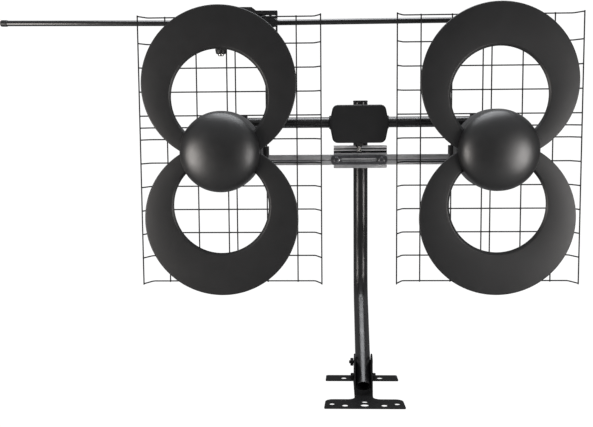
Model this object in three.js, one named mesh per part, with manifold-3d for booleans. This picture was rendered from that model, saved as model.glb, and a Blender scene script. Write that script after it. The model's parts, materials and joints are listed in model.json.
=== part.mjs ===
// Outdoor loop antenna with two reflector screens, a side dipole and a tilting mast foot.
// Units are millimetres. +Z is up, the antenna faces -Y, and +X is to the right seen from the front.
// The origin is on the underside of the foot's web, FOOT_FRONT behind its front edge.

import * as THREE from 'three';
import { mergeVertices } from 'three/addons/utils/BufferGeometryUtils.js';
import Module from 'manifold-3d';

const wasm = await Module();
wasm.setup();

// ---------------------------------------------------------------- driving dimensions

const GAP = 0.3; // clearance left between touching pieces
const ROUND = 16; // sides of a round piece
const SMALL = 6; // sides of a bolt, a screw or a drilled hole

// foot: one stamped plate with two upright ears
const FRONT_HALF = 71.5; // half width of the front arms
const REAR_HALF = 70;
const FOOT_FRONT = 100;
const FOOT_BACK = 105.5;
const PLATE = 2.4;
const FRONT_ARM = 50;
const REAR_ARM = 35.5;
const EAR_INNER = 14.4;
const WEB_HALF = EAR_INNER + PLATE;
const EAR_RADIUS = 42.5;
const SLOT_RADIUS = 33.5;
const SLOT_START = 5; // degrees above horizontal of the lock bolt in its slot
const SLOT_END = 95;
const SLOT_HALF = 3.6;
const PIVOT_Y = -2;
const PIVOT_Z = 29.5;
const FOOT_BOLT_RADIUS = 3.1;
const FOOT_BOLT_HEX = 7.6; // centre to corner of the heads and nuts
const PIVOT_BOLT_REACH = 25.5; // from the middle to the threaded end
const LOCK_BOLT_REACH = 25.5;
const PIVOT_HEAD = 6; // how far the hex head stands out from the ear
const LOCK_HEAD = 2; // the low round head of the lock bolt
const RUN_GAP = 0.6; // running clearance of a bolt in its holes

// mast: a bent tube
const MAST_RADIUS = 14;
const MAST_WALL = 1.6;
const MAST_SIDES = 20;
const MAST_Y = 159;
const MAST_LEAN = THREE.MathUtils.degToRad(50);
const MAST_TAIL = 20; // tube beyond the pivot bolt
const MAST_TOP = 534.8;
const BEND_RADIUS = 75;

// head: everything that turns on the mast, drawn about the middle of the reflector plane
const HEAD = new THREE.Vector3(-5, 111, 442.9);
const MAST_X = -HEAD.x; // the mast axis in head coordinates
const MAST_DEPTH = MAST_Y - HEAD.y;
const MODULE_X = 243;

// reflector screen
const WIRE = 2.6;
const SCREEN_HALF = 254;
const FLANGE_START = 159;
const FLANGE_X = 171.8;
const FLANGE_DEPTH = 30;
const UPRIGHT_X = [8.2, 66.6, 125.1];
const RUNG_PITCH = 45.3;
const EXTRA_RUNG = 45.3;
const WIRE_OVERLAP = 0.5;

// loops and hub
const HUB_Z = 3.5;
const HUB_SHIFT_LEFT = -7; // each hub sits a little off the middle of its screen
const HUB_SHIFT_RIGHT = -1.1;
const HUB_ROLL_LEFT = THREE.MathUtils.degToRad(-0.47); // and turned a little about Y
const HUB_ROLL_RIGHT = THREE.MathUtils.degToRad(0.42);
const LOOP_Y = -140;
const LOOP_THICK = 5;
const LOOP_OUTER = 137.9;
const LOOP_OUTER_UP = 120.4;
const LOOP_INNER = 85;
const LOOP_INNER_UP = 96.6;
const FEED_GAP = 12;
const DOME_RADIUS = 71.5;
const DOME_BULGE = 38;
const DOME_STEPS = 6;
const SHELL = 2.6;
const BOWL_RADIUS = 73;
const BOWL_BACK = -80;
const HUB_SCREW_X = 55;
const BOARD_BACK = -132.6;
const BOARD_BOSS_X = 30;
const NECK_RADIUS = 25;
const NECK_BORE = 20;

// boom, support bar and rear brackets
const BOOM_RADIUS = 10.3;
const BOOM_BORE = 8.6;
const CABLE_RADIUS = 2.6;
const BOOM_Y = 14;
const BOOM_Z = 53.1;
const BOOM_OUTER_END = 12; // from the module's centre line towards the mast
const BAR_TOP = -8.9;
const BAR_BOTTOM = -28.4;
const BAR_FRONT = 2.8;
const BAR_BACK = 15;
const BAR_WALL = 2;
const BRACKET_BACK = 27;
const BRACKET_LOW = -37.7;
const BRACKET_SCREW_X = 31; // about the hub
const BRACKET_OUTER = 45; // from the module's centre line to the bracket's outer end
const BAR_BOLT_X = 56;

// combiner box
const BOX_X = 1;
const BOX_Z = 50.2;
const BOX_HALF_X = 56.8;
const BOX_HALF_Z = 36.3;
const BOX_FRONT = -9;
const BOX_BACK = 32;
const BOX_SPLIT = 14;
const BOX_WALL = 2.4;
const SOCKET_RADIUS = 13;
const SOCKET_OUT = 57.4;
const BOX_DRAFT = 5.2; // how far the sides lean in at the corners
const BOX_CORNER = 10;
const CONNECTOR_Y = 5;
const CONNECTOR_END = -3.2; // lower end of the coax connector

// mast clamp
const STRAP_HALF = 54;
const CHANNEL_HALF = 51.4;
// How far the channel and the strap sit from the mast's centre line.
const CHANNEL_SHIFT = -1.3;
const STRAP_SHIFT = -3.8;
const CHANNEL_TOP = 7.7;
const CHANNEL_BOTTOM = -35.4;
const CHANNEL_FRONT = 15.4;
const CHANNEL_WALL = 2.5;
const CLAMP_Z = -18.7;
const CLAMP_BOLT_X = 43;
const CLAMP_BOLT_RADIUS = 3;
const STRAP_THICK = 2.5;
const STRAP_HALF_HEIGHT = 9.3;
const JAW_THICK = 3;

// side dipole
const DIPOLE_Z = 244;
const DIPOLE_Y = 16;
const DIPOLE_TILT = THREE.MathUtils.degToRad(0.6);
const ROD_RADIUS = 5.4;
const HOLDER_X = 3; // the holder's middle, to the right of the module's centre line
const HOLDER_HALF = 85.6;
const LEAD_X = -23.3; // the lead's plug, from the holder's middle
const LEAD_RADIUS = 11;
const HOLDER_BACK = 30;
const HOLDER_FOOT = 38; // how far the holder's tongue reaches below the rods
const LEAD_BORE = 6.3;
const KNOB_REACH = 59.4;
const LEAD_REACH = 62.4;
const ROD_INNER = 32; // inner ends of the rods, from the holder's middle
const ROD_LEFT_END = 451.5; // outer end of the left rod's cap, from the holder's middle
const ROD_RIGHT_END = 445.5;
const ROD_RISE = 0.76; // degrees the right rod slopes up from the left one's line

// ---------------------------------------------------------------- materials

const finish = (color, roughness, metalness) =>
  new THREE.MeshStandardMaterial({ color, roughness, metalness });

const blackPaint = () => finish(0x1b1b1c, 0.3, 0.2);
const blackPlastic = () => finish(0x262627, 0.55, 0);
const loopCoating = () => finish(0x2d2e30, 0.6, 0.1);
const screenCoating = () => finish(0x1d1d1e, 0.5, 0.3);
const zinc = () => finish(0x9a9c9f, 0.35, 0.9);
const brightZinc = () => finish(0xb9bbbe, 0.22, 1);
const nickel = () => finish(0xc4c2bb, 0.2, 1);
const boardGreen = () => finish(0x1f5a37, 0.5, 0);
const sealRubber = () => finish(0x141414, 0.85, 0);

// ---------------------------------------------------------------- helpers

// A closed mesh as a solid: only positions are kept, and collapsed triangles are dropped.
function solid(geometry) {
  const bare = geometry.clone();
  bare.deleteAttribute('normal');
  bare.deleteAttribute('uv');
  const merged = mergeVertices(bare, 1e-4);
  const index = merged.index.array;
  const kept = [];
  for (let i = 0; i < index.length; i += 3) {
    const [a, b, c] = [index[i], index[i + 1], index[i + 2]];
    if (a !== b && b !== c && c !== a) kept.push(a, b, c);
  }
  return new wasm.Manifold(new wasm.Mesh({
    numProp: 3,
    vertProperties: new Float32Array(merged.attributes.position.array),
    triVerts: new Uint32Array(kept),
  }));
}

function geometryOf(manifold) {
  const mesh = manifold.getMesh();
  const geometry = new THREE.BufferGeometry();
  geometry.setAttribute('position', new THREE.BufferAttribute(mesh.vertProperties, 3));
  geometry.setIndex(new THREE.BufferAttribute(mesh.triVerts, 1));
  return geometry;
}

const joined = (...parts) => parts.reduce((sum, part) => sum.add(part));
const cut = (body, ...tools) => tools.reduce((rest, tool) => rest.subtract(tool), body);

function block(x0, x1, y0, y1, z0, z1) {
  const geometry = new THREE.BoxGeometry(x1 - x0, y1 - y0, z1 - z0);
  return solid(geometry.translate((x0 + x1) / 2, (y0 + y1) / 2, (z0 + z1) / 2));
}

// A round bar from `from` to `to` along one axis; `at` gives the other two coordinates in order.
function bar(axis, radius, from, to, at = [0, 0], segments = ROUND, endRadius = radius) {
  const geometry = new THREE.CylinderGeometry(endRadius, radius, to - from, segments);
  geometry.translate(0, (from + to) / 2, 0);
  if (axis === 'x') geometry.rotateZ(-Math.PI / 2).translate(0, at[0], at[1]);
  if (axis === 'y') geometry.translate(at[0], 0, at[1]);
  if (axis === 'z') geometry.rotateX(Math.PI / 2).translate(at[0], at[1], 0);
  return solid(geometry);
}

// A shape drawn in X and Z, given thickness from y0 to y1.
function plateXZ(shape, y0, y1, curveSegments = 8) {
  const geometry = new THREE.ExtrudeGeometry(shape, { depth: y1 - y0, bevelEnabled: false, curveSegments });
  return solid(geometry.rotateX(Math.PI / 2).translate(0, y1, 0));
}

// A shape drawn in X and Y, given thickness from z0 to z1.
function plateXY(shape, z0, z1, curveSegments = 8) {
  const geometry = new THREE.ExtrudeGeometry(shape, { depth: z1 - z0, bevelEnabled: false, curveSegments });
  return solid(geometry.translate(0, 0, z0));
}

// A shape drawn in Y and Z, given thickness from x0 to x1.
function plateYZ(shape, x0, x1, curveSegments = 8) {
  const geometry = new THREE.ExtrudeGeometry(shape, { depth: x1 - x0, bevelEnabled: false, curveSegments });
  return solid(geometry.rotateZ(Math.PI / 2).rotateY(Math.PI / 2).translate(x0, 0, 0));
}

// A profile of [radius, y] points turned about the Y axis, in whichever order faces outwards.
function turned(profile, segments = 24) {
  const points = profile.map(([r, y]) => new THREE.Vector2(r, y));
  const made = solid(new THREE.LatheGeometry(points, segments));
  return made.volume() > 0 ? made : solid(new THREE.LatheGeometry(points.reverse(), segments));
}

function piece(name, shape, material) {
  const mesh = new THREE.Mesh(geometryOf(shape), material);
  mesh.name = name;
  return mesh;
}

function polygon(points) {
  return new THREE.Shape(points.map(([x, y]) => new THREE.Vector2(x, y)));
}

// ---------------------------------------------------------------- foot

function footOutline() {
  const half = FRONT_HALF;
  const front = -FOOT_FRONT;
  const back = FOOT_BACK;
  const frontBack = front + FRONT_ARM;
  const rearFront = back - REAR_ARM;
  const fillet = 13;
  const outline = new THREE.Shape();
  outline.moveTo(-half, front + 3);
  outline.lineTo(-half + 3, front);
  outline.lineTo(half - 3, front);
  outline.lineTo(half, front + 3);
  outline.lineTo(half - 2, frontBack - 12);
  outline.quadraticCurveTo(half - 3, frontBack, half - 16, frontBack);
  outline.lineTo(WEB_HALF + fillet, frontBack);
  outline.quadraticCurveTo(WEB_HALF, frontBack, WEB_HALF, frontBack + fillet);
  outline.lineTo(WEB_HALF, rearFront);
  outline.lineTo(REAR_HALF, rearFront);
  outline.lineTo(REAR_HALF - 3, back - 3);
  outline.lineTo(REAR_HALF - 6, back);
  outline.lineTo(-REAR_HALF + 3, back);
  outline.lineTo(-REAR_HALF, back - 3);
  outline.lineTo(-REAR_HALF, rearFront);
  outline.lineTo(-WEB_HALF, rearFront);
  outline.lineTo(-WEB_HALF, frontBack + fillet);
  outline.quadraticCurveTo(-WEB_HALF, frontBack, -WEB_HALF - fillet, frontBack);
  outline.lineTo(-half + 16, frontBack);
  outline.quadraticCurveTo(-half + 3, frontBack, -half + 2, frontBack - 12);
  outline.closePath();
  return outline;
}

const aroundPivot = (radius, degrees) => {
  const angle = THREE.MathUtils.degToRad(degrees);
  return [PIVOT_Y + radius * Math.cos(angle), PIVOT_Z + radius * Math.sin(angle)];
};

function ear(x0, x1) {
  const outline = new THREE.Shape();
  const top = THREE.MathUtils.degToRad(112);
  outline.moveTo(PIVOT_Y - 27, PLATE / 2);
  outline.lineTo(...aroundPivot(EAR_RADIUS, 112));
  outline.absarc(PIVOT_Y, PIVOT_Z, EAR_RADIUS, top, 0, true);
  outline.lineTo(PIVOT_Y + EAR_RADIUS, PLATE / 2);
  outline.closePath();
  return plateYZ(outline, x0, x1);
}

// The slot in both ears that the lock bolt slides in.
function lockSlot(x0, x1) {
  const slot = new THREE.Shape();
  const start = THREE.MathUtils.degToRad(SLOT_START);
  const end = THREE.MathUtils.degToRad(SLOT_END);
  const [startY, startZ] = aroundPivot(SLOT_RADIUS, SLOT_START);
  const [endY, endZ] = aroundPivot(SLOT_RADIUS, SLOT_END);
  slot.absarc(PIVOT_Y, PIVOT_Z, SLOT_RADIUS + SLOT_HALF, start, end, false);
  slot.absarc(endY, endZ, SLOT_HALF, end, end + Math.PI, false);
  slot.absarc(PIVOT_Y, PIVOT_Z, SLOT_RADIUS - SLOT_HALF, end, start, true);
  slot.absarc(startY, startZ, SLOT_HALF, start + Math.PI, start + 2 * Math.PI, false);
  return plateYZ(slot, x0, x1, 8);
}

function slotHole(x, y, halfWidth, halfLength) {
  const straight = halfLength - halfWidth;
  const hole = new THREE.Shape();
  hole.absarc(x, y + straight, halfWidth, 0, Math.PI, false);
  hole.absarc(x, y - straight, halfWidth, Math.PI, 2 * Math.PI, false);
  return plateXY(hole, -1, PLATE + 1, 4);
}

function footPlate() {
  const plate = plateXY(footOutline(), 0, PLATE, 3);
  const ears = joined(ear(-WEB_HALF, -EAR_INNER), ear(EAR_INNER, WEB_HALF));
  const holes = [slotHole(0, -83, 7.3, 8), slotHole(0.6, -64.5, 5.3, 6)];
  for (const side of [-1, 1]) {
    holes.push(slotHole(side * 57.5, -76, 4.4, 6.4), slotHole(side * 34.5, -84.3, 5, 7.3));
    holes.push(slotHole(side * 34.6, 86.5, 5, 7));
  }
  const pivotHole = bar('x', FOOT_BOLT_RADIUS + RUN_GAP, -30, 30, [PIVOT_Y, PIVOT_Z], SMALL);
  const body = cut(joined(plate, ears), ...holes, pivotHole, lockSlot(-30, 30));
  return piece('foot_plate', body, blackPaint());
}

// ---------------------------------------------------------------- mast

// Bolts along X through the ears: the head is on the right and the nut on the left.
function pivotBolt() {
  const at = [PIVOT_Y, PIVOT_Z];
  const shank = bar('x', FOOT_BOLT_RADIUS, -PIVOT_BOLT_REACH, WEB_HALF + 1, at, SMALL);
  const head = bar('x', FOOT_BOLT_HEX, WEB_HALF + GAP, WEB_HALF + PIVOT_HEAD, at, 6);
  return piece('pivot_bolt', joined(shank, head), blackPaint());
}

function lockBolt() {
  const shank = bar('x', FOOT_BOLT_RADIUS, -LOCK_BOLT_REACH, WEB_HALF + 1, lockPoint(), SMALL);
  const head = bar('x', FOOT_BOLT_HEX, WEB_HALF + GAP, WEB_HALF + LOCK_HEAD, lockPoint(), ROUND, 5);
  return piece('lock_bolt', joined(shank, head), blackPaint());
}

function hexNut(name, at) {
  const nut = bar('x', FOOT_BOLT_HEX, -WEB_HALF - GAP - 6, -WEB_HALF - GAP, at, 6);
  const bore = bar('x', FOOT_BOLT_RADIUS + 0.1, -40, 0, at, SMALL);
  return piece(name, cut(nut, bore), blackPaint());
}

// Centre line of the mast from its tail at the foot to its top.
function mastPath() {
  const down = new THREE.Vector3(0, -Math.sin(MAST_LEAN), -Math.cos(MAST_LEAN));
  const cornerZ = PIVOT_Z + (MAST_Y - PIVOT_Y) / Math.tan(MAST_LEAN);
  const setback = BEND_RADIUS * Math.tan(MAST_LEAN / 2);
  const points = [new THREE.Vector3(0, PIVOT_Y, PIVOT_Z).addScaledVector(down, MAST_TAIL)];
  const bendCentre = new THREE.Vector2(MAST_Y - BEND_RADIUS, cornerZ + setback);
  const steps = 5;
  for (let i = 0; i <= steps; i += 1) {
    const angle = -MAST_LEAN * (1 - i / steps);
    const y = bendCentre.x + BEND_RADIUS * Math.cos(angle);
    const z = bendCentre.y + BEND_RADIUS * Math.sin(angle);
    points.push(new THREE.Vector3(0, y, z));
  }
  points.push(new THREE.Vector3(0, MAST_Y, MAST_TOP));
  return points;
}

// A straight-sided ring of vertices at each centre point, square to the path there.
function tubeSkin(points, radius, segments) {
  const rings = [];
  const across = new THREE.Vector3(1, 0, 0);
  points.forEach((point, i) => {
    const before = points[Math.max(i - 1, 0)];
    const after = points[Math.min(i + 1, points.length - 1)];
    const along = after.clone().sub(before).normalize();
    const side = new THREE.Vector3().crossVectors(along, across);
    for (let k = 0; k < segments; k += 1) {
      const angle = (2 * Math.PI * k) / segments;
      const vertex = point.clone();
      vertex.addScaledVector(across, radius * Math.cos(angle));
      vertex.addScaledVector(side, radius * Math.sin(angle));
      rings.push(vertex);
    }
  });
  return rings;
}

function sweptBar(points, radius, segments) {
  const vertices = tubeSkin(points, radius, segments);
  const faces = [];
  const last = points.length - 1;
  for (let i = 0; i < last; i += 1) {
    for (let k = 0; k < segments; k += 1) {
      const a = i * segments + k;
      const b = i * segments + ((k + 1) % segments);
      faces.push(a, b, a + segments, b, b + segments, a + segments);
    }
  }
  for (let k = 1; k < segments - 1; k += 1) {
    faces.push(0, k + 1, k);
    faces.push(last * segments, last * segments + k, last * segments + k + 1);
  }
  const geometry = new THREE.BufferGeometry().setFromPoints(vertices);
  geometry.setIndex(faces);
  return solid(geometry);
}

function mastTube() {
  const path = mastPath();
  const outer = sweptBar(path, MAST_RADIUS, MAST_SIDES);
  const inner = path.map((point) => point.clone());
  inner[0].add(new THREE.Vector3(0, -Math.sin(MAST_LEAN), -Math.cos(MAST_LEAN)));
  inner[inner.length - 1].z += 1;
  const bore = sweptBar(inner, MAST_RADIUS - MAST_WALL, MAST_SIDES);
  const pivotHole = bar('x', FOOT_BOLT_RADIUS + RUN_GAP, -30, 30, [PIVOT_Y, PIVOT_Z], SMALL);
  const lockHole = bar('x', FOOT_BOLT_RADIUS + RUN_GAP, -30, 30, lockPoint(), SMALL);
  return piece('mast_tube', cut(outer, bore, pivotHole, lockHole), blackPaint());
}

// Where the lock bolt crosses the mast: on the leaning tube's axis, at the slot's radius.
function lockPoint() {
  return [PIVOT_Y + SLOT_RADIUS * Math.sin(MAST_LEAN), PIVOT_Z + SLOT_RADIUS * Math.cos(MAST_LEAN)];
}

function mastCap() {
  const at = [0, MAST_Y];
  const plug = bar('z', MAST_RADIUS - MAST_WALL - GAP, MAST_TOP - 12, MAST_TOP + 1, at, MAST_SIDES);
  const brim = bar('z', MAST_RADIUS + 0.4, MAST_TOP + GAP, MAST_TOP + 3.2, at, MAST_SIDES);
  return piece('mast_end_cap', joined(plug, brim), blackPlastic());
}

function mastGroup() {
  const group = new THREE.Group();
  group.add(mastTube(), mastCap(), lockBolt(), hexNut('lock_nut', lockPoint()));
  return group;
}

function footGroup() {
  const group = new THREE.Group();
  group.add(footPlate(), pivotBolt(), hexNut('pivot_nut', [PIVOT_Y, PIVOT_Z]));
  return group;
}

// ---------------------------------------------------------------- reflector screen

// A rung: a straight wire whose two ends bend forward to meet the edge uprights.
function rung(z) {
  const half = WIRE / 2;
  const slope = Math.atan2(FLANGE_DEPTH, FLANGE_X - FLANGE_START);
  const shift = half * Math.tan(slope / 2);
  const back = [
    [-FLANGE_X - half, -FLANGE_DEPTH],
    [-FLANGE_START - shift, half],
    [FLANGE_START + shift, half],
    [FLANGE_X + half, -FLANGE_DEPTH],
  ];
  const front = [
    [FLANGE_X - half, -FLANGE_DEPTH],
    [FLANGE_START - shift, -half],
    [-FLANGE_START + shift, -half],
    [-FLANGE_X + half, -FLANGE_DEPTH],
  ];
  return plateXY(polygon([...back, ...front]), z - half, z + half);
}

function rungHeights() {
  const heights = [-SCREEN_HALF, SCREEN_HALF, EXTRA_RUNG];
  for (let i = 0; i < 10; i += 1) heights.push((i - 4.5) * RUNG_PITCH);
  return heights;
}

function reflectorScreen(name) {
  const half = WIRE / 2;
  const front = -half - WIRE + WIRE_OVERLAP;
  const edgeFront = -FLANGE_DEPTH - WIRE + 0.4;
  const end = SCREEN_HALF + half + 0.4;
  const rungs = rungHeights().map(rung);
  const uprights = [];
  for (const sign of [-1, 1]) {
    for (const x of UPRIGHT_X.map((place) => sign * place)) {
      uprights.push(block(x - half, x + half, front, front + WIRE, -end, end));
    }
    const edge = sign * FLANGE_X;
    uprights.push(block(edge - half - 0.2, edge + half + 0.2, edgeFront, edgeFront + WIRE, -end, end));
  }
  return piece(name, joined(...rungs, ...uprights), screenCoating());
}

// ---------------------------------------------------------------- hub and loops

// One eccentric ring, wide at its far side; `up` is 1 above the hub and -1 below it.
function loopRing(up, spread = 0) {
  const y0 = LOOP_Y - LOOP_THICK / 2 - spread;
  const y1 = LOOP_Y + LOOP_THICK / 2 + spread;
  const outer = bar('y', LOOP_OUTER + spread, y0, y1, [0, HUB_Z + up * LOOP_OUTER_UP], 56);
  const inner = bar('y', LOOP_INNER - spread, y0 - 1, y1 + 1, [0, HUB_Z + up * LOOP_INNER_UP], 44);
  return cut(outer, inner);
}

function loop(name, up) {
  const split = 1.5;
  const across = LOOP_OUTER + 10;
  const z0 = up > 0 ? HUB_Z - 60 : HUB_Z - split;
  const z1 = up > 0 ? HUB_Z + split : HUB_Z + 60;
  const otherHalf = block(-across, across, LOOP_Y - 10, LOOP_Y + 10, z0, z1);
  const gap = block(-FEED_GAP / 2, FEED_GAP / 2, LOOP_Y - 10, LOOP_Y + 10, HUB_Z - 30, HUB_Z + 30);
  const screws = [-1, 1].map((side) => [side * HUB_SCREW_X, HUB_Z]);
  const notches = screws.map((at) => bar('y', 2.4, LOOP_Y - 5, LOOP_Y + 5, at, SMALL));
  return piece(name, cut(loopRing(up), otherHalf, gap, ...notches), loopCoating());
}

// Points of a dome from the rim to the pole, as [radius, y].
function domeArc(radius, bulge, rimY, steps) {
  const points = [];
  for (let i = 0; i <= steps; i += 1) {
    const angle = (Math.PI / 2) * (i / steps);
    points.push([radius * Math.cos(angle), rimY - bulge * Math.sin(angle)]);
  }
  points[steps][0] = 0;
  return points;
}

function hubDome(name) {
  const rim = LOOP_Y - LOOP_THICK / 2 - GAP - 0.2;
  const outside = domeArc(DOME_RADIUS, DOME_BULGE, rim, DOME_STEPS);
  const inside = domeArc(DOME_RADIUS - SHELL, DOME_BULGE - SHELL, rim, DOME_STEPS).reverse();
  const shell = turned([...inside, ...outside]);
  const places = [-1, 1].map((side) => [side * HUB_SCREW_X, 0]);
  const posts = places.map((at) => bar('y', 4, rim - 20, rim + 0.1, at, SMALL));
  const drill = places.map((at) => bar('y', 1.8, rim - 12, rim + 1, at, SMALL));
  const mesh = piece(name, cut(joined(shell, ...posts), ...drill), blackPlastic());
  mesh.position.z = HUB_Z;
  return mesh;
}

// The bowl behind the loops, drawn in to a neck that reaches the reflector.
function rearHousing(name) {
  const rim = LOOP_Y - LOOP_THICK / 2 - GAP;
  const radius = BOWL_RADIUS;
  const flange = -WIRE * 1.5 - GAP;
  const floor = BOWL_BACK - SHELL;
  const profile = [
    [0, rim], [DOME_RADIUS, rim], [radius, rim + 14], [radius, BOWL_BACK - 8], [radius - 6, BOWL_BACK],
    [NECK_RADIUS + 6, BOWL_BACK], [NECK_RADIUS, BOWL_BACK + 8], [NECK_RADIUS, flange - 9],
    [NECK_RADIUS + 13, flange - 5], [NECK_RADIUS + 13, flange], [0, flange],
  ];
  const hollow = [
    [0, rim - 1], [DOME_RADIUS - SHELL, rim - 1], [DOME_RADIUS - SHELL, floor - 6], [radius - 10, floor],
    [NECK_BORE + 3, floor], [NECK_BORE, floor + 6], [NECK_BORE, flange + 1], [0, flange + 1],
  ];
  const shell = cut(turned(profile), turned(hollow));
  const pair = (x, radius, y0, y1) => [-x, x].map((at) => bar('y', radius, y0, y1, [at, 0], SMALL));
  const bosses = pair(BOARD_BOSS_X, 5, BOARD_BACK + GAP, floor + 1);
  const posts = pair(HUB_SCREW_X, 5, rim + 8.5, floor + 1);
  const drill = pair(HUB_SCREW_X, 2.4, rim - 5, BOWL_BACK + 5);
  const tapped = pair(BRACKET_SCREW_X, 2.1, -13, 0);
  const body = cut(joined(shell, ...bosses, ...posts), ...drill, ...tapped).translate(0, 0, HUB_Z);
  return piece(name, cut(body, loopRing(1, GAP), loopRing(-1, GAP)), blackPlastic());
}

function hubScrew(name, side) {
  const rim = LOOP_Y - LOOP_THICK / 2 - GAP;
  const at = [side * HUB_SCREW_X, HUB_Z];
  const shank = bar('y', 1.6, rim - 9, BOWL_BACK + 1, at, SMALL);
  const head = bar('y', 3.6, BOWL_BACK + GAP, BOWL_BACK + 3, at, SMALL);
  return piece(name, joined(shank, head), zinc());
}

function balunBoard(name) {
  const front = BOARD_BACK - 1.6;
  const board = block(-38, 38, front, BOARD_BACK, HUB_Z - 22, HUB_Z + 22);
  const core = bar('y', 7, front - 0.3, front + 6.2, [0, HUB_Z + 12], ROUND);
  const terminal = (x) => block(x - 3, x + 3, front - 2.7, front + 0.2, HUB_Z - 4, HUB_Z + 4);
  const terminals = [terminal(-14), terminal(14)];
  return piece(name, joined(board, core, ...terminals), boardGreen());
}

// ---------------------------------------------------------------- rear bracket, bar and boom

// The block behind the reflector that grips the support bar and the end of the boom.
// `inward` is the X direction from the module towards the mast; `hub` is the hub it holds.
function rearBracket(name, inward, hub) {
  const front = WIRE / 2 + GAP;
  const low = BRACKET_LOW;
  const high = BOOM_Z + BOOM_RADIUS + 4;
  const span = (a, b) => [Math.min(inward * a, inward * b), Math.max(inward * a, inward * b)];
  const body = block(...span(-BRACKET_OUTER, 28), front, BRACKET_BACK, low, high);
  const arm = block(...span(27, 69.3), front, BRACKET_BACK, low, CHANNEL_TOP);
  const barSlot = block(...span(-30, 80), BAR_FRONT - GAP, BAR_BACK + GAP, BAR_BOTTOM - GAP, BAR_TOP + GAP);
  const boomEnd = span(BOOM_OUTER_END - GAP, 50);
  const boomSocket = bar('x', BOOM_RADIUS + GAP, ...boomEnd, [BOOM_Y, BOOM_Z], ROUND);
  const wiring = block(-8, 8, BOOM_Y - 7, BOOM_Y + 7, BAR_TOP + 4, BOOM_Z + 7);
  const passage = block(...span(0, BOOM_OUTER_END), BOOM_Y - 7, BOOM_Y + 7, BOOM_Z - 7, BOOM_Z + 7);
  const entry = bar('y', 9, front - 1, BOOM_Y, [0, HUB_Z], SMALL);
  const screws = [-1, 1].map((side) => new THREE.Vector3(side * BRACKET_SCREW_X, 0, HUB_Z));
  const places = screws.map((screw) => screw.applyMatrix4(hub.matrix));
  const drill = places.map((place) => bar('y', 2.4, 0, 40, [place.x, place.z], SMALL));
  const barHole = bar('y', 3.3, 0, 40, [inward * BAR_BOLT_X, CLAMP_Z], SMALL);
  const mesh = cut(joined(body, arm), barSlot, boomSocket, wiring, passage, entry, ...drill, barHole);
  return piece(name, mesh, blackPlastic());
}

function bracketScrew(name, side) {
  const at = [side * BRACKET_SCREW_X, HUB_Z];
  const shank = bar('y', 2, -12, BRACKET_BACK + 1, at, SMALL);
  const head = bar('y', 4.4, BRACKET_BACK + GAP, BRACKET_BACK + 3.4, at, SMALL);
  return piece(name, joined(shank, head), zinc());
}

function barBolt(name, inward) {
  const at = [inward * BAR_BOLT_X, CLAMP_Z];
  const shank = bar('y', 2.8, BAR_FRONT + 3, BRACKET_BACK + 1, at, SMALL);
  const head = bar('y', 5.6, BRACKET_BACK + GAP, BRACKET_BACK + 4.2, at, 6);
  return piece(name, joined(shank, head), zinc());
}

function supportBar() {
  const end = MODULE_X + 28;
  const outside = block(-end, end, BAR_FRONT, BAR_BACK, BAR_BOTTOM, BAR_TOP);
  const inside = block(-end - 1, end + 1, BAR_FRONT + BAR_WALL, BAR_BACK + 1,
    BAR_BOTTOM + BAR_WALL, BAR_TOP - BAR_WALL);
  const groove = block(-end - 1, end + 1, BAR_FRONT - 1, BAR_FRONT + 0.8, CLAMP_Z - 1.3, CLAMP_Z + 0.1);
  const holes = [
    bar('y', 3.3, 0, 20, [MODULE_X - BAR_BOLT_X, CLAMP_Z], SMALL),
    bar('y', 3.3, 0, 20, [BAR_BOLT_X - MODULE_X, CLAMP_Z], SMALL),
    bar('y', CLAMP_BOLT_RADIUS + GAP, 0, 20, [MAST_X + STRAP_SHIFT - CLAMP_BOLT_X, CLAMP_Z], SMALL),
    bar('y', CLAMP_BOLT_RADIUS + GAP, 0, 20, [MAST_X + STRAP_SHIFT + CLAMP_BOLT_X, CLAMP_Z], SMALL),
  ];
  return piece('support_bar', cut(outside, inside, groove, ...holes), zinc());
}

function boomTube(name, side) {
  const from = BOX_X * side + BOX_HALF_X - 8;
  const to = MODULE_X - BOOM_OUTER_END - GAP;
  const ends = side > 0 ? [from, to] : [-to, -from];
  const tube = bar('x', BOOM_RADIUS, ...ends, [BOOM_Y, BOOM_Z], ROUND);
  const bore = bar('x', BOOM_BORE, ends[0] - 1, ends[1] + 1, [BOOM_Y, BOOM_Z], ROUND);
  return piece(name, cut(tube, bore), blackPaint());
}

// The coaxial lead from a hub's board, through the neck and the boom, to the combiner board.
function feedCable(name, side) {
  const hub = side * MODULE_X;
  const towards = -side;
  const inside = BOX_X + side * 40;
  const path = [
    new THREE.Vector3(hub, -132.2, HUB_Z),
    new THREE.Vector3(hub, BOOM_Y - 6, HUB_Z),
    new THREE.Vector3(hub, BOOM_Y, HUB_Z + 6),
    new THREE.Vector3(hub, BOOM_Y, BOOM_Z - 6),
    new THREE.Vector3(hub + towards * 6, BOOM_Y, BOOM_Z),
    new THREE.Vector3(inside, BOOM_Y, BOOM_Z),
  ];
  const section = polygon([0, 1, 2, 3, 4, 5].map((k) => {
    const angle = (k * Math.PI) / 3;
    return [CABLE_RADIUS * Math.cos(angle), CABLE_RADIUS * Math.sin(angle)];
  }));
  const extrudePath = new THREE.CatmullRomCurve3(path, false, 'catmullrom', 0.2);
  return piece(name, solid(new THREE.ExtrudeGeometry(section, { steps: 24, extrudePath })), sealRubber());
}

// ---------------------------------------------------------------- combiner box

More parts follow.
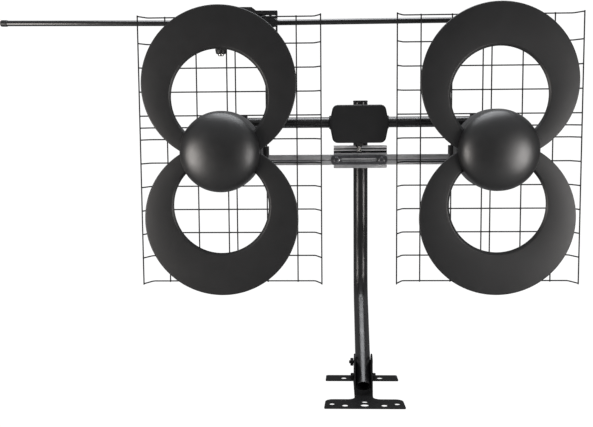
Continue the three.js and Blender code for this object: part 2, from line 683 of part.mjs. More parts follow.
// Outline about the box centre: flat top and bottom, sides that lean out to the boom sockets.
function boxOutline(inset = 0) {
  const x = BOX_HALF_X - inset;
  const z = BOX_HALF_Z - inset;
  const cornerX = x - BOX_DRAFT;
  const shape = new THREE.Shape();
  shape.moveTo(-x, 0);
  shape.lineTo(-cornerX, z - BOX_CORNER);
  shape.quadraticCurveTo(-cornerX + 2, z, -cornerX + BOX_CORNER + 2, z);
  shape.lineTo(cornerX - BOX_CORNER - 2, z);
  shape.quadraticCurveTo(cornerX - 2, z, cornerX, z - BOX_CORNER);
  shape.lineTo(x, 0);
  shape.lineTo(cornerX, -z + BOX_CORNER);
  shape.quadraticCurveTo(cornerX - 2, -z, cornerX - BOX_CORNER - 2, -z);
  shape.lineTo(-cornerX + BOX_CORNER + 2, -z);
  shape.quadraticCurveTo(-cornerX + 2, -z, -cornerX, -z + BOX_CORNER);
  shape.closePath();
  return shape;
}

function boxShell(name, front) {
  const y0 = front ? BOX_FRONT : BOX_SPLIT + GAP;
  const y1 = front ? BOX_SPLIT - GAP : BOX_BACK;
  const hollow0 = front ? BOX_FRONT + BOX_WALL : BOX_SPLIT - 1;
  const hollow1 = front ? BOX_SPLIT + 1 : BOX_BACK - BOX_WALL;
  const at = [BOOM_Y, BOOM_Z - BOX_Z];
  const sockets = bar('x', SOCKET_RADIUS, -SOCKET_OUT, SOCKET_OUT, at, ROUND);
  const half = block(-80, 80, y0, y1, -60, 60);
  const outside = joined(plateXZ(boxOutline(), y0, y1), sockets.intersect(half));
  const hollow = plateXZ(boxOutline(BOX_WALL), hollow0, hollow1);
  const boomHole = bar('x', BOOM_RADIUS + GAP, -90, 90, at, ROUND);
  const screwX = BOX_HALF_X - 15;
  const screwZ = BOX_HALF_Z - 8;
  const corners = [[-1, -1], [1, -1], [-1, 1], [1, 1]].map(([sx, sz]) => [sx * screwX, sz * screwZ]);
  const posts = corners.map((corner) => bar('y', 4, y0 + 1, y1, corner, SMALL));
  const drills = corners.map((corner) => bar('y', 1.8, front ? 2 : 0, 60, corner, SMALL));
  const connectorHole = bar('z', 5.1, -60, -20, [0, CONNECTOR_Y], ROUND);
  const shell = joined(cut(outside, hollow), ...posts);
  const collar = bar('z', 6, -BOX_HALF_Z - 7.5, -BOX_HALF_Z + 1, [0, CONNECTOR_Y], ROUND, 8.2);
  const body = cut(front ? joined(shell, collar) : shell, boomHole, connectorHole, ...drills);
  return piece(name, body.translate(BOX_X, 0, BOX_Z), blackPlastic());
}

function boxScrew(name, sx, sz) {
  const at = [BOX_X + sx * (BOX_HALF_X - 15), BOX_Z + sz * (BOX_HALF_Z - 8)];
  const shank = bar('y', 1.6, 6, BOX_BACK + 1, at, SMALL);
  const head = bar('y', 3.4, BOX_BACK + GAP, BOX_BACK + 2.4, at, SMALL);
  return piece(name, joined(shank, head), zinc());
}

function combinerBoard() {
  const y = 21;
  const board = block(BOX_X - 34, BOX_X + 34, y, y + 1.6, BOX_Z - 24, BOX_Z + 26);
  const can = block(BOX_X - 16, BOX_X + 16, y - 5, y + 0.2, BOX_Z + 6, BOX_Z + 22);
  const coils = [-24, 24].map((x) => bar('y', 4, y - 5, y + 0.2, [BOX_X + x, BOX_Z - 12], SMALL));
  const tail = block(BOX_X - 2, BOX_X + 2, 9, y + 0.2, BOX_Z - 24, BOX_Z - 21);
  return piece('combiner_board', joined(board, can, ...coils, tail), boardGreen());
}

function coaxConnector() {
  const at = [BOX_X, CONNECTOR_Y];
  const floor = BOX_Z - BOX_HALF_Z;
  const barrel = bar('z', 4.75, CONNECTOR_END, floor + 9, at, ROUND);
  const shoulder = bar('z', 7, floor + BOX_WALL + GAP, floor + 6, at, ROUND);
  const bore = bar('z', 1.5, CONNECTOR_END - 1, floor + 4, at, SMALL);
  return piece('coax_connector', cut(joined(barrel, shoulder), bore), nickel());
}

// ---------------------------------------------------------------- mast clamp

// Holes for the two clamp bolts, from y0 to y1.
function clampHoles(y0, y1) {
  const places = [-1, 1].map((side) => [STRAP_SHIFT + side * CLAMP_BOLT_X, CLAMP_Z]);
  return places.map((at) => bar('y', CLAMP_BOLT_RADIUS + GAP, y0, y1, at, SMALL));
}

function clampStrap() {
  const outline = new THREE.Shape();
  const z0 = CLAMP_Z - STRAP_HALF_HEIGHT;
  const z1 = CLAMP_Z + STRAP_HALF_HEIGHT;
  const left = STRAP_SHIFT - STRAP_HALF;
  const right = STRAP_SHIFT + STRAP_HALF;
  outline.moveTo(left + 6, z0);
  outline.lineTo(right - 6, z0);
  outline.quadraticCurveTo(right, z0, right, CLAMP_Z);
  outline.quadraticCurveTo(right, z1, right - 6, z1);
  outline.lineTo(left + 6, z1);
  outline.quadraticCurveTo(left, z1, left, CLAMP_Z);
  outline.quadraticCurveTo(left, z0, left + 6, z0);
  const slot = new THREE.Path();
  slot.absarc(STRAP_SHIFT + 31, CLAMP_Z, 3, -Math.PI / 2, Math.PI / 2, false);
  slot.absarc(STRAP_SHIFT - 31, CLAMP_Z, 3, Math.PI / 2, 1.5 * Math.PI, false);
  outline.holes.push(slot);
  const plate = plateXZ(outline, BAR_FRONT - GAP - STRAP_THICK, BAR_FRONT - GAP, 5);
  return piece('clamp_strap', cut(plate, ...clampHoles(-10, 20)), brightZinc());
}

function clampChannel() {
  const back = CHANNEL_FRONT + CHANNEL_WALL;
  const lips = MAST_DEPTH - 2;
  const left = CHANNEL_SHIFT - CHANNEL_HALF;
  const right = CHANNEL_SHIFT + CHANNEL_HALF;
  const web = block(left, right, CHANNEL_FRONT, back, CHANNEL_BOTTOM, CHANNEL_TOP);
  const topLip = block(left, right, back - 1, lips, CHANNEL_TOP - CHANNEL_WALL, CHANNEL_TOP);
  const bottomLip = block(left, right, back - 1, lips, CHANNEL_BOTTOM, CHANNEL_BOTTOM + CHANNEL_WALL);
  const groove = (z0, z1) => block(left - 1, right + 1, CHANNEL_FRONT - 1, CHANNEL_FRONT + 1.2, z0, z1);
  const mast = bar('z', MAST_RADIUS + GAP, -60, 60, [0, MAST_DEPTH], MAST_SIDES);
  const grooved = cut(joined(web, topLip, bottomLip), groove(0.7, 3.1), groove(-6, -2));
  return piece('clamp_channel', cut(grooved, mast, ...clampHoles(0, 30)), brightZinc());
}

function clampJaw() {
  const low = CLAMP_Z - 11;
  const high = CLAMP_Z + 11;
  const y0 = MAST_DEPTH + 2;
  const left = CHANNEL_SHIFT - CHANNEL_HALF;
  const right = CHANNEL_SHIFT + CHANNEL_HALF;
  const wings = block(left, right, y0, y0 + JAW_THICK, low, high);
  const wrap = bar('z', MAST_RADIUS + GAP + JAW_THICK, low, high, [0, MAST_DEPTH], MAST_SIDES);
  const behind = block(-30, 30, y0, y0 + 40, -80, 80);
  const mast = bar('z', MAST_RADIUS + GAP, -60, 60, [0, MAST_DEPTH], MAST_SIDES);
  const body = joined(wings, wrap.intersect(behind));
  return piece('clamp_rear_jaw', cut(body, mast, ...clampHoles(0, 80)), brightZinc());
}

function clampBolt(name, side) {
  const at = [STRAP_SHIFT + side * CLAMP_BOLT_X, CLAMP_Z];
  const strapFront = BAR_FRONT - GAP - STRAP_THICK;
  const shank = bar('y', CLAMP_BOLT_RADIUS, strapFront - 1, MAST_DEPTH + 16, at, SMALL);
  const head = bar('y', 4, strapFront - GAP - 3.6, strapFront - GAP, at, ROUND, 7);
  return piece(name, joined(shank, head), brightZinc());
}

function clampNut(name, side) {
  const at = [STRAP_SHIFT + side * CLAMP_BOLT_X, CLAMP_Z];
  const face = MAST_DEPTH + 2 + JAW_THICK + GAP;
  const nut = bar('y', 5.8, face, face + 5, at, 6);
  const bore = bar('y', CLAMP_BOLT_RADIUS + 0.05, 0, 90, at, SMALL);
  return piece(name, cut(nut, bore), zinc());
}

function clampGroup() {
  const group = new THREE.Group();
  group.position.x = MAST_X;
  group.add(clampStrap(), clampChannel(), clampJaw());
  group.add(clampBolt('clamp_bolt_left', -1), clampBolt('clamp_bolt_right', 1));
  group.add(clampNut('clamp_nut_left', -1), clampNut('clamp_nut_right', 1));
  return group;
}

// ---------------------------------------------------------------- side dipole

// Drawn about the holder's middle, behind the top of the left reflector.
const HOLDER_FRONT = WIRE / 2 + GAP - DIPOLE_Y + 0.8;
const HOLDER_REAR = HOLDER_BACK - DIPOLE_Y;
const HOLDER_SPLIT = 6.6;

// The holder's outline: a tongue below the middle, and legs down to the wire at both ends.
function holderOutline() {
  const end = HOLDER_HALF;
  return polygon([
    [-end, 22.5], [-end, -19], [-end + 2.6, -19], [-end + 2.6, -6.5], [-end + 20, -9], [-37, -9],
    [-37, -HOLDER_FOOT], [37, -HOLDER_FOOT], [37, -9], [end - 20, -9], [end - 2.6, -6.5], [end - 2.6, -19],
    [end, -19], [end, 22.5], [45.7, 22.5], [37, 29], [-37, 29], [-45.7, 22.5],
  ]);
}

function dipoleHolder() {
  const body = plateXZ(holderOutline(), HOLDER_FRONT, HOLDER_SPLIT);
  const pocket = block(-34, 34, HOLDER_FRONT + SHELL, HOLDER_SPLIT + 1, -35, 26);
  const windows = [];
  for (const side of [-1, 1]) {
    for (const x of [53.5, 66, 78.5]) {
      windows.push(block(side * x - 4.2, side * x + 4.2, -40, 40, 11, 15.4));
    }
    windows.push(block(side * 83.2 - 2.6, side * 83.2 + 2.6, -40, 40, 6.2, 8.6));
  }
  const leftBore = bar('x', ROD_RADIUS + GAP, -HOLDER_HALF - 5, 0, [0, 0], ROUND);
  const rightBore = bar('x', ROD_RADIUS + GAP, 0, HOLDER_HALF + 5, [0, 0], ROUND).rotate([0, -ROD_RISE, 0]);
  const lead = bar('z', LEAD_BORE, -50, -30, [LEAD_X, 0], ROUND);
  return piece('dipole_holder', cut(body, pocket, ...windows, leftBore, rightBore, lead), blackPlastic());
}

function dipoleCover() {
  const face = HOLDER_SPLIT + GAP;
  const outline = polygon([
    [-70, 9], [-70, -9], [-37, -9], [-37, -HOLDER_FOOT], [37, -HOLDER_FOOT], [37, -9], [70, -9], [70, 9],
    [45.7, 22.5], [37, 29], [-37, 29], [-45.7, 22.5],
  ]);
  const plate = plateXZ(outline, face, HOLDER_REAR);
  const pocket = block(-34, 34, face - 1, HOLDER_REAR - SHELL, -35, 26);
  return piece('dipole_cover', cut(plate, pocket), blackPlastic());
}

function dipoleBoard() {
  const board = block(-30, 30, 2.2, 3.8, -30, 22);
  const transformer = bar('y', 6, 3.6, 9, [6, 12], SMALL);
  return piece('dipole_board', joined(board, transformer), boardGreen());
}

// One rod with the cap on its outer end; `side` is the X direction it points in.
function rodGroup(side, word, end) {
  const group = new THREE.Group();
  const along = (a, b) => [Math.min(side * a, side * b), Math.max(side * a, side * b)];
  const rod = bar('x', ROD_RADIUS, ...along(ROD_INNER, end - 3), [0, 0], ROUND);
  const cap = bar('x', ROD_RADIUS + 0.9, ...along(end - 14, end), [0, 0], ROUND);
  const bore = bar('x', ROD_RADIUS + 0.1, ...along(0, end - 3 + GAP), [0, 0], ROUND);
  group.add(piece(`dipole_rod_${word}`, rod, blackPaint()));
  group.add(piece(`rod_cap_${word}`, cut(cap, bore), blackPlastic()));
  return group;
}

function dipoleConnector() {
  const at = [LEAD_X, 0];
  const knob = bar('z', LEAD_RADIUS - 1.5, -KNOB_REACH, -HOLDER_FOOT - GAP, at, ROUND, LEAD_RADIUS);
  const stem = bar('z', LEAD_BORE - GAP, -HOLDER_FOOT - 1, -33, at, ROUND);
  const tip = bar('z', 6, -LEAD_REACH, 1 - KNOB_REACH, at, ROUND);
  return piece('dipole_connector', joined(knob, stem, tip), nickel());
}

function dipoleGroup() {
  const group = new THREE.Group();
  const drop = HOLDER_X * Math.sin(DIPOLE_TILT);
  group.position.set(HOLDER_X - MODULE_X, DIPOLE_Y, DIPOLE_Z - drop);
  group.rotation.y = DIPOLE_TILT;
  const rightRod = rodGroup(1, 'right', ROD_RIGHT_END);
  rightRod.rotation.y = THREE.MathUtils.degToRad(-ROD_RISE);
  group.add(dipoleHolder(), dipoleCover(), dipoleBoard(), dipoleConnector());
  group.add(rodGroup(-1, 'left', ROD_LEFT_END), rightRod);
  return group;
}

// ---------------------------------------------------------------- assembly

// The hub with its two loops, and the screws that hold it together and to the rear bracket.
function hubGroup(side, word) {
  const group = new THREE.Group();
  group.position.x = side < 0 ? HUB_SHIFT_LEFT : HUB_SHIFT_RIGHT;
  group.rotation.y = side < 0 ? HUB_ROLL_LEFT : HUB_ROLL_RIGHT;
  group.updateMatrix();
  group.add(loop(`upper_loop_${word}`, 1), loop(`lower_loop_${word}`, -1));
  group.add(hubDome(`hub_dome_${word}`), rearHousing(`hub_rear_housing_${word}`));
  group.add(balunBoard(`balun_board_${word}`));
  for (const [end, direction] of [['outer', side], ['inner', -side]]) {
    group.add(hubScrew(`hub_screw_${word}_${end}`, direction));
    group.add(bracketScrew(`bracket_screw_${word}_${end}`, direction));
  }
  return group;
}

function moduleGroup(side) {
  const word = side < 0 ? 'left' : 'right';
  const hub = hubGroup(side, word);
  const group = new THREE.Group();
  group.position.x = side * MODULE_X;
  group.add(reflectorScreen(`reflector_screen_${word}`), hub);
  group.add(rearBracket(`rear_bracket_${word}`, -side, hub));
  group.add(barBolt(`bar_bolt_${word}`, -side));
  return group;
}

function boxGroup() {
  const group = new THREE.Group();
  group.add(boxShell('combiner_front_shell', true), boxShell('combiner_rear_shell', false));
  group.add(combinerBoard(), coaxConnector());
  group.add(boxScrew('box_screw_lower_left', -1, -1), boxScrew('box_screw_lower_right', 1, -1));
  group.add(boxScrew('box_screw_upper_left', -1, 1), boxScrew('box_screw_upper_right', 1, 1));
  return group;
}

function headGroup() {
  const group = new THREE.Group();
  group.position.copy(HEAD);
  group.add(moduleGroup(-1), moduleGroup(1), supportBar(), boxGroup(), clampGroup(), dipoleGroup());
  group.add(boomTube('boom_left', -1), boomTube('boom_right', 1));
  group.add(feedCable('feed_cable_left', -1), feedCable('feed_cable_right', 1));
  return group;
}

const antenna = new THREE.Group();
antenna.add(footGroup(), mastGroup(), headGroup());

export default antenna;
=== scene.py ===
import json
import math

import bmesh
import bpy
from mathutils import Matrix, Vector

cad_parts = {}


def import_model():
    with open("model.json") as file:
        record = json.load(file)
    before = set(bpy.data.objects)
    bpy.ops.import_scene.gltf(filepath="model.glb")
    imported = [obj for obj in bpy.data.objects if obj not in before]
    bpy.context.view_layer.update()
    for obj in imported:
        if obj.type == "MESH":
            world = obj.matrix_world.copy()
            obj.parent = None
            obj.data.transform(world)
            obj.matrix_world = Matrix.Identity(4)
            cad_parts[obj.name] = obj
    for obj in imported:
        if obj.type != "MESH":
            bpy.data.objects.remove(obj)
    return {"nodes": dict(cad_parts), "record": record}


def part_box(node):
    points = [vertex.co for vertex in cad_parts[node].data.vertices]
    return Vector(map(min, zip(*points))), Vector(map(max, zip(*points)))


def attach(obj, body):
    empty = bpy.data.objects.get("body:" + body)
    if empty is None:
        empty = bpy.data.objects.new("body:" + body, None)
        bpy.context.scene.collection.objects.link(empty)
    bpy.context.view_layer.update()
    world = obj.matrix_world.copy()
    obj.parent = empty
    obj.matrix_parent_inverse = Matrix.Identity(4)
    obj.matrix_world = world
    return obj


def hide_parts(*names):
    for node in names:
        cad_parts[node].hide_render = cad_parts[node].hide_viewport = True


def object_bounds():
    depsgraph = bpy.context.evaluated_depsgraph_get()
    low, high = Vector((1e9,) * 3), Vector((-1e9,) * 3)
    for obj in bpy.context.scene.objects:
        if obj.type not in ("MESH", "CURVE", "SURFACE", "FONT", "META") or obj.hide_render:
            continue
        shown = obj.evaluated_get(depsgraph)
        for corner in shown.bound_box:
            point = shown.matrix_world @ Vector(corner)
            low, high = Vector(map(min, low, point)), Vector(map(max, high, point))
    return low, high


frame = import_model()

# Looks for the outdoor loop antenna. Shapes are drawn in millimetres in the CAD frame and scaled to metres
# when a mesh is made. X is to the right seen from the front, the antenna faces -Y, and Z is up.

CAD_LOW, CAD_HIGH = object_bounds()
MM = 0.001
BODY_OF = {
    node: body
    for body, nodes in frame["record"]["behaviour"]["bodies"].items()
    for node in nodes
}
SLOT_OF = {entry["node"]: entry["material_slot"] for entry in frame["record"]["subparts"]}
X, Y, Z = Vector((1, 0, 0)), Vector((0, 1, 0)), Vector((0, 0, 1))


# ---------- places from the frame


def box(node):
    low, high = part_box(node)
    return low / MM, high / MM


def middle(node):
    low, high = box(node)
    return (low + high) / 2


def centre_line(node):
    """Where the line along Y through a node's middle crosses the plane Y = 0."""
    return Vector((middle(node).x, 0, middle(node).z))


def upright_line(node):
    """Where the line along Z through a node's middle crosses the plane Z = 0."""
    return Vector((middle(node).x, middle(node).y, 0))


def directions_of(path):
    """The direction of a path at each of its points."""
    last = len(path) - 1
    return [(path[min(i + 1, last)] - path[max(i - 1, 0)]).normalized() for i in range(len(path))]


def placed(name, data):
    """A new object with this data, linked to the scene."""
    made = bpy.data.objects.new(name, data)
    bpy.context.scene.collection.objects.link(made)
    return made


# ---------- materials


def fill(node, values):
    """Sets a shader node's inputs by name."""
    for key, value in values.items():
        node.inputs[key].default_value = value


def split_by_camera(tree, lit, seen, target):
    """Shows one shader to the camera and another to everything that reflects it."""
    path = tree.nodes.new("ShaderNodeLightPath")
    mix = tree.nodes.new("ShaderNodeMixShader")
    tree.links.new(path.outputs["Is Camera Ray"], mix.inputs[0])
    tree.links.new(lit.outputs[0], mix.inputs[1])
    tree.links.new(seen.outputs[0], mix.inputs[2])
    tree.links.new(mix.outputs[0], target.inputs["Surface"])


class Nodes:
    """A material's node tree, with short calls for the nodes that the finishes share."""

    def __init__(self, name):
        self.material = bpy.data.materials.new(name)
        self.material.use_nodes = True
        self.tree = self.material.node_tree
        self.shader = self.tree.nodes["Principled BSDF"]
        self.place = self.node("TexCoord").outputs["Object"]

    def node(self, kind, **settings):
        made = self.tree.nodes.new("ShaderNode" + kind)
        for key, value in settings.items():
            setattr(made, key, value)
        return made

    def link(self, output, target):
        self.tree.links.new(output, target)

    def drive(self, key, output):
        self.link(output, self.shader.inputs[key])

    def stretched(self, scale):
        mapping = self.node("Mapping")
        mapping.inputs["Scale"].default_value = scale
        self.link(self.place, mapping.inputs["Vector"])
        return mapping.outputs["Vector"]

    def noise(self, size_mm, detail=3, vector=None):
        """Noise from 0 to 1 with features about size_mm across."""
        made = self.node("TexNoise")
        fill(made, {"Scale": 1 / (size_mm * MM), "Detail": detail})
        self.link(vector if vector is not None else self.place, made.inputs["Vector"])
        return made.outputs["Fac"]

    def ranged(self, value, low, high, start=0.25, end=0.75):
        made = self.node("MapRange")
        fill(made, {"From Min": start, "From Max": end, "To Min": low, "To Max": high})
        self.link(value, made.inputs["Value"])
        return made.outputs["Result"]

    def math(self, operation, first, second):
        made = self.node("Math", operation=operation)
        for socket, value in zip(made.inputs, (first, second)):
            if isinstance(value, (int, float)):
                socket.default_value = value
            else:
                self.link(value, socket)
        return made.outputs[0]

    def mixed(self, factor, first, second):
        made = self.node("Mix", data_type="RGBA")
        self.link(factor, made.inputs["Factor"])
        for socket, value in ((made.inputs[6], first), (made.inputs[7], second)):
            if isinstance(value, tuple):
                socket.default_value = (*value, 1)
            else:
                self.link(value, socket)
        return made.outputs[2]

    def edges(self, radius_mm):
        """1 along sharp outside edges, 0 on flats."""
        bevel = self.node("Bevel", samples=4)
        bevel.inputs["Radius"].default_value = radius_mm * MM
        geometry = self.node("NewGeometry")
        dot = self.node("VectorMath", operation="DOT_PRODUCT")
        self.link(bevel.outputs["Normal"], dot.inputs[0])
        self.link(geometry.outputs["Normal"], dot.inputs[1])
        return self.ranged(dot.outputs["Value"], 1, 0, 0.82, 0.98)

    def bump(self, height, depth_mm, normal=None):
        made = self.node("Bump")
        made.inputs["Distance"].default_value = depth_mm * MM
        self.link(height, made.inputs["Height"])
        if normal is not None:
            self.link(normal, made.inputs["Normal"])
        return made.outputs["Normal"]


def coated(name, colour, patch_colour, roughness, grain_mm, grain_depth, worn_colour, spread=0.08,
           coat=0.0, specular=0.5, wear_mm=0.5):
    """A painted or moulded surface: slow colour patches, a fine grain, uneven sheen and rubbed edges."""
    patch_mm, chip_mm, sheen_mm, smear_mm, dent_mm = 38, 3.5, 14, 90, 9
    nodes = Nodes(name)
    patches = nodes.ranged(nodes.noise(patch_mm, 4), 0, 1)
    base = nodes.mixed(patches, colour, patch_colour)
    edges = nodes.edges(wear_mm)
    rubbed = nodes.math("MULTIPLY", edges, nodes.ranged(nodes.noise(chip_mm, 4), 0, 0.8, 0.35, 0.7))
    nodes.drive("Base Color", nodes.mixed(rubbed, base, worn_colour))
    sheen = nodes.ranged(nodes.noise(sheen_mm, 5), roughness - spread, roughness + spread)
    smears = nodes.ranged(nodes.noise(smear_mm, 2), -spread / 2, spread / 2)
    nodes.drive("Roughness", nodes.math("ADD", sheen, smears))
    fine = nodes.bump(nodes.noise(grain_mm, 2), grain_depth)
    nodes.drive("Normal", nodes.bump(nodes.noise(dent_mm, 2), grain_depth * 1.5, fine))
    fill(nodes.shader, {"Coat Weight": coat, "Coat Roughness": 0.12, "Specular IOR Level": specular})
    return nodes.material


def plated(name, colour, shade_colour, roughness, brush, depth=0.02, metallic=1):
    """Plated metal: brushed along one direction, with cloudy tone and duller spots."""
    streak_mm, cloud_mm, spot_mm = 1.1, 17, 5
    nodes = Nodes(name)
    streaks = nodes.noise(streak_mm, 3, nodes.stretched(brush))
    clouds = nodes.ranged(nodes.noise(cloud_mm, 4), 0, 1)
    base = nodes.mixed(clouds, colour, shade_colour)
    dull = nodes.ranged(nodes.noise(spot_mm, 4), 0, 0.35, 0.55, 0.75)
    darker = tuple(0.55 * value for value in shade_colour)
    nodes.drive("Base Color", nodes.mixed(dull, base, darker))
    brushed = nodes.ranged(streaks, roughness - 0.07, roughness + 0.1)
    rough = nodes.math("ADD", brushed, nodes.math("MULTIPLY", dull, 0.5))
    nodes.drive("Roughness", rough)
    nodes.shader.inputs["Metallic"].default_value = metallic
    nodes.drive("Normal", nodes.bump(streaks, depth))
    return nodes.material


def circuit_board():
    """Green solder mask over a grid of tracks, with pale pads."""
    nodes = Nodes("circuit_board")
    tracks = nodes.node("TexBrick")
    fill(tracks, {
        "Scale": 180, "Mortar Size": 0.06, "Color1": (0.012, 0.11, 0.045, 1),
        "Color2": (0.02, 0.16, 0.065, 1), "Mortar": (0.05, 0.26, 0.12, 1),
    })
    turned = nodes.node("Mapping")
    turned.inputs["Rotation"].default_value = (math.pi / 2, 0, 0)
    nodes.link(nodes.place, turned.inputs["Vector"])
    nodes.link(turned.outputs["Vector"], tracks.inputs["Vector"])
    pads = nodes.node("TexVoronoi")
    pads.inputs["Scale"].default_value = 210
    nodes.link(nodes.place, pads.inputs["Vector"])
    spots = nodes.ranged(pads.outputs["Distance"], 1, 0, 0.12, 0.16)
    face = nodes.mixed(spots, tracks.outputs["Color"], (0.55, 0.5, 0.36))
    nodes.drive("Base Color", face)
    nodes.drive("Roughness", nodes.ranged(nodes.noise(6), 0.28, 0.5))
    nodes.drive("Normal", nodes.bump(tracks.outputs["Fac"], 0.05))
    return nodes.material


MATERIALS = {"board": circuit_board()}

# Colour, patch colour, roughness, grain and its depth in mm, worn colour.
for finish_name, *values, options in (
    ("mast_paint", (0.006, 0.006, 0.0065), (0.009, 0.009, 0.0095), 0.3, 1.6, 0.004, (0.05, 0.05, 0.052),
     dict(spread=0.05, coat=0.2)),
    ("foot_paint", (0.004, 0.004, 0.0043), (0.007, 0.007, 0.0073), 0.6, 1.2, 0.012, (0.06, 0.06, 0.063),
     dict(spread=0.06, wear_mm=0.6, specular=0.12)),
    ("boom_paint", (0.007, 0.007, 0.0075), (0.01, 0.01, 0.0105), 0.26, 1.4, 0.004, (0.05, 0.05, 0.05),
     dict(spread=0.05, coat=0.3)),
    ("rod_paint", (0.007, 0.007, 0.0075), (0.01, 0.01, 0.0105), 0.2, 1.4, 0.003, (0.05, 0.05, 0.05),
     dict(spread=0.04, coat=0.4)),
    ("wire_coating", (0.006, 0.006, 0.0065), (0.01, 0.01, 0.0105), 0.5, 0.8, 0.015, (0.03, 0.03, 0.031),
     dict(spread=0.08, specular=0.3)),
    ("loop_coating", (0.006, 0.006, 0.0063), (0.009, 0.009, 0.0095), 0.46, 0.55, 0.008, (0.16, 0.16, 0.16),
     dict(spread=0.03, specular=0.42)),
    ("hub_plastic", (0.005, 0.005, 0.0053), (0.0075, 0.0074, 0.0076), 0.4, 0.5, 0.006, (0.05, 0.05, 0.05),
     dict(spread=0.04, specular=0.6)),
    ("box_plastic", (0.009, 0.009, 0.0095), (0.013, 0.013, 0.0135), 0.46, 0.6, 0.015, (0.045, 0.045, 0.047),
     dict(spread=0.06, specular=0.4)),
    ("holder_plastic", (0.007, 0.007, 0.0075), (0.01, 0.01, 0.0105), 0.45, 0.7, 0.015, (0.05, 0.05, 0.05),
     dict(spread=0.07, specular=0.4)),
    # groove_shadow is painted shade: a near-black finish put on groove floors where shade falls.
    ("groove_shadow", (0.003, 0.003, 0.003), (0.006, 0.006, 0.006), 0.6, 0.6, 0.01, (0.02, 0.02, 0.02),
     dict(specular=0.2)),
    ("cable", (0.009, 0.009, 0.009), (0.013, 0.013, 0.013), 0.6, 0.4, 0.03, (0.03, 0.03, 0.03), {}),
):
    MATERIALS[finish_name] = coated(finish_name, *values, **options)

# Colour, shade colour, roughness, brush direction; then bump depth in mm and metallic where they differ.
for finish_name, *values in (
    ("zinc", (0.66, 0.66, 0.67), (0.52, 0.52, 0.53), 0.42, (0.04, 1, 1), 0.006),
    ("dark_zinc", (0.2, 0.2, 0.21), (0.12, 0.12, 0.125), 0.28, (0.06, 1, 1), 0.01),
    # A lighter, less metallic copy of zinc: a painted highlight for the channel's faces above the strap.
    ("bright_zinc", (0.86, 0.86, 0.87), (0.8, 0.8, 0.81), 0.3, (0.03, 1, 1), 0.004, 0.15),
    ("fastener", (0.5, 0.5, 0.51), (0.38, 0.38, 0.4), 0.28, (1, 0.2, 1)),
    ("nickel", (0.72, 0.71, 0.69), (0.58, 0.57, 0.55), 0.16, (1, 1, 0.1)),
):
    MATERIALS[finish_name] = plated(finish_name, *values)


# ---------- mesh helpers


def finish(mesh, name, material, stands_for, crease):
    """Turns a bmesh in millimetres into a named piece that rides with and stands in for a CAD node."""
    bmesh.ops.remove_doubles(mesh, verts=mesh.verts, dist=1e-4)
    bmesh.ops.recalc_face_normals(mesh, faces=mesh.faces)
    bmesh.ops.scale(mesh, vec=(MM, MM, MM), verts=mesh.verts)
    data = bpy.data.meshes.new(name)
    mesh.to_mesh(data)
    mesh.free()
    data.shade_smooth()
    data.set_sharp_from_angle(angle=math.radians(crease))
    data.materials.append(MATERIALS[material])
    piece = placed(name, data)
    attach(piece, BODY_OF[stands_for])
    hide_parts(stands_for)
    return piece


def full_turn(count):
    return [2 * math.pi * k / count for k in range(count)]


def quarter(k, count):
    return math.pi / 2 * k / count


def radial(side, other, angle):
    return side * math.cos(angle) + other * math.sin(angle)


def ring_at(mesh, point, side, other, radius, count):
    return [mesh.verts.new(point + radial(side, other, angle) * radius) for angle in full_turn(count)]


def bridge(mesh, first, second):
    count = len(first)
    for k in range(count):
        after = (k + 1) % count
        mesh.faces.new((first[k], first[after], second[after], second[k]))


def skin(mesh, rings):
    """Joins rings of the same count and closes both ends."""
    for first, second in zip(rings, rings[1:]):
        bridge(mesh, first, second)
    mesh.faces.new(rings[0][::-1])
    mesh.faces.new(rings[-1])


def axes_for(axis):
    side = Z if abs(axis.dot(Z)) < 0.9 else X
    side = (side - axis * side.dot(axis)).normalized()
    return side, axis.cross(side)


def lathe(mesh, profile, centre, axis, segments, closed=False, shape=None):
    """Turns [radius, along] points about an axis. shape(angle, radius, along) may move a point."""
    side, other = axes_for(axis)
    rings = []
    for radius, along in profile:
        if radius == 0:
            rings.append([mesh.verts.new(centre + axis * along)])
            continue
        ring = []
        for angle in full_turn(segments):
            r, a = shape(angle, radius, along) if shape else (radius, along)
            ring.append(mesh.verts.new(centre + axis * a + radial(side, other, angle) * r))
        rings.append(ring)
    pairs = list(zip(rings, rings[1:]))
    if closed:
        pairs.append((rings[-1], rings[0]))
    for first, second in pairs:
        if len(first) == len(second):
            bridge(mesh, first, second)
            continue
        pole, ring = (first[0], second) if len(first) == 1 else (second[0], first)
        for k in range(segments):
            mesh.faces.new((pole, ring[k], ring[(k + 1) % segments]))


def turned(name, material, node, crease, *shape, **options):
    """A piece that is one turned shape: its profile, centre, axis and segments as in lathe()."""
    mesh = bmesh.new()
    lathe(mesh, *shape, **options)
    finish(mesh, name, material, node, crease)


def off_axis(points):
    """Keeps rounding from carrying a lathe profile across its axis."""
    return [(max(p[0], 0), p[1]) for p in points]


def filleted(points, radius, steps, closed=True):
    """A polyline whose corners are arcs. A point may carry its own radius as a third value."""
    made = []
    count = len(points)
    for i, point in enumerate(points):
        here = Vector(point[:2])
        own = point[2] if len(point) > 2 else radius
        if own <= 0 or (not closed and i in (0, count - 1)):
            made.append(here)
            continue
        before = Vector(points[i - 1][:2]) - here
        after = Vector(points[(i + 1) % count][:2]) - here
        turn = math.pi - before.angle(after)
        if turn < 0.02:
            made.append(here)
            continue
        reach = min(own * math.tan(turn / 2), before.length * 0.49, after.length * 0.49)
        own = reach / math.tan(turn / 2)
        back, ahead = before.normalized(), after.normalized()
        start = here + back * reach
        centre = here + (back + ahead).normalized() * (own / math.cos(turn / 2))
        spoke = start - centre
        sign = 1 if (here - start).cross(ahead) > 0 else -1
        for step in range(steps + 1):
            angle = sign * turn * step / steps
            made.append(centre + Vector((
                spoke.x * math.cos(angle) - spoke.y * math.sin(angle),
                spoke.x * math.sin(angle) + spoke.y * math.cos(angle),
            )))
    return made


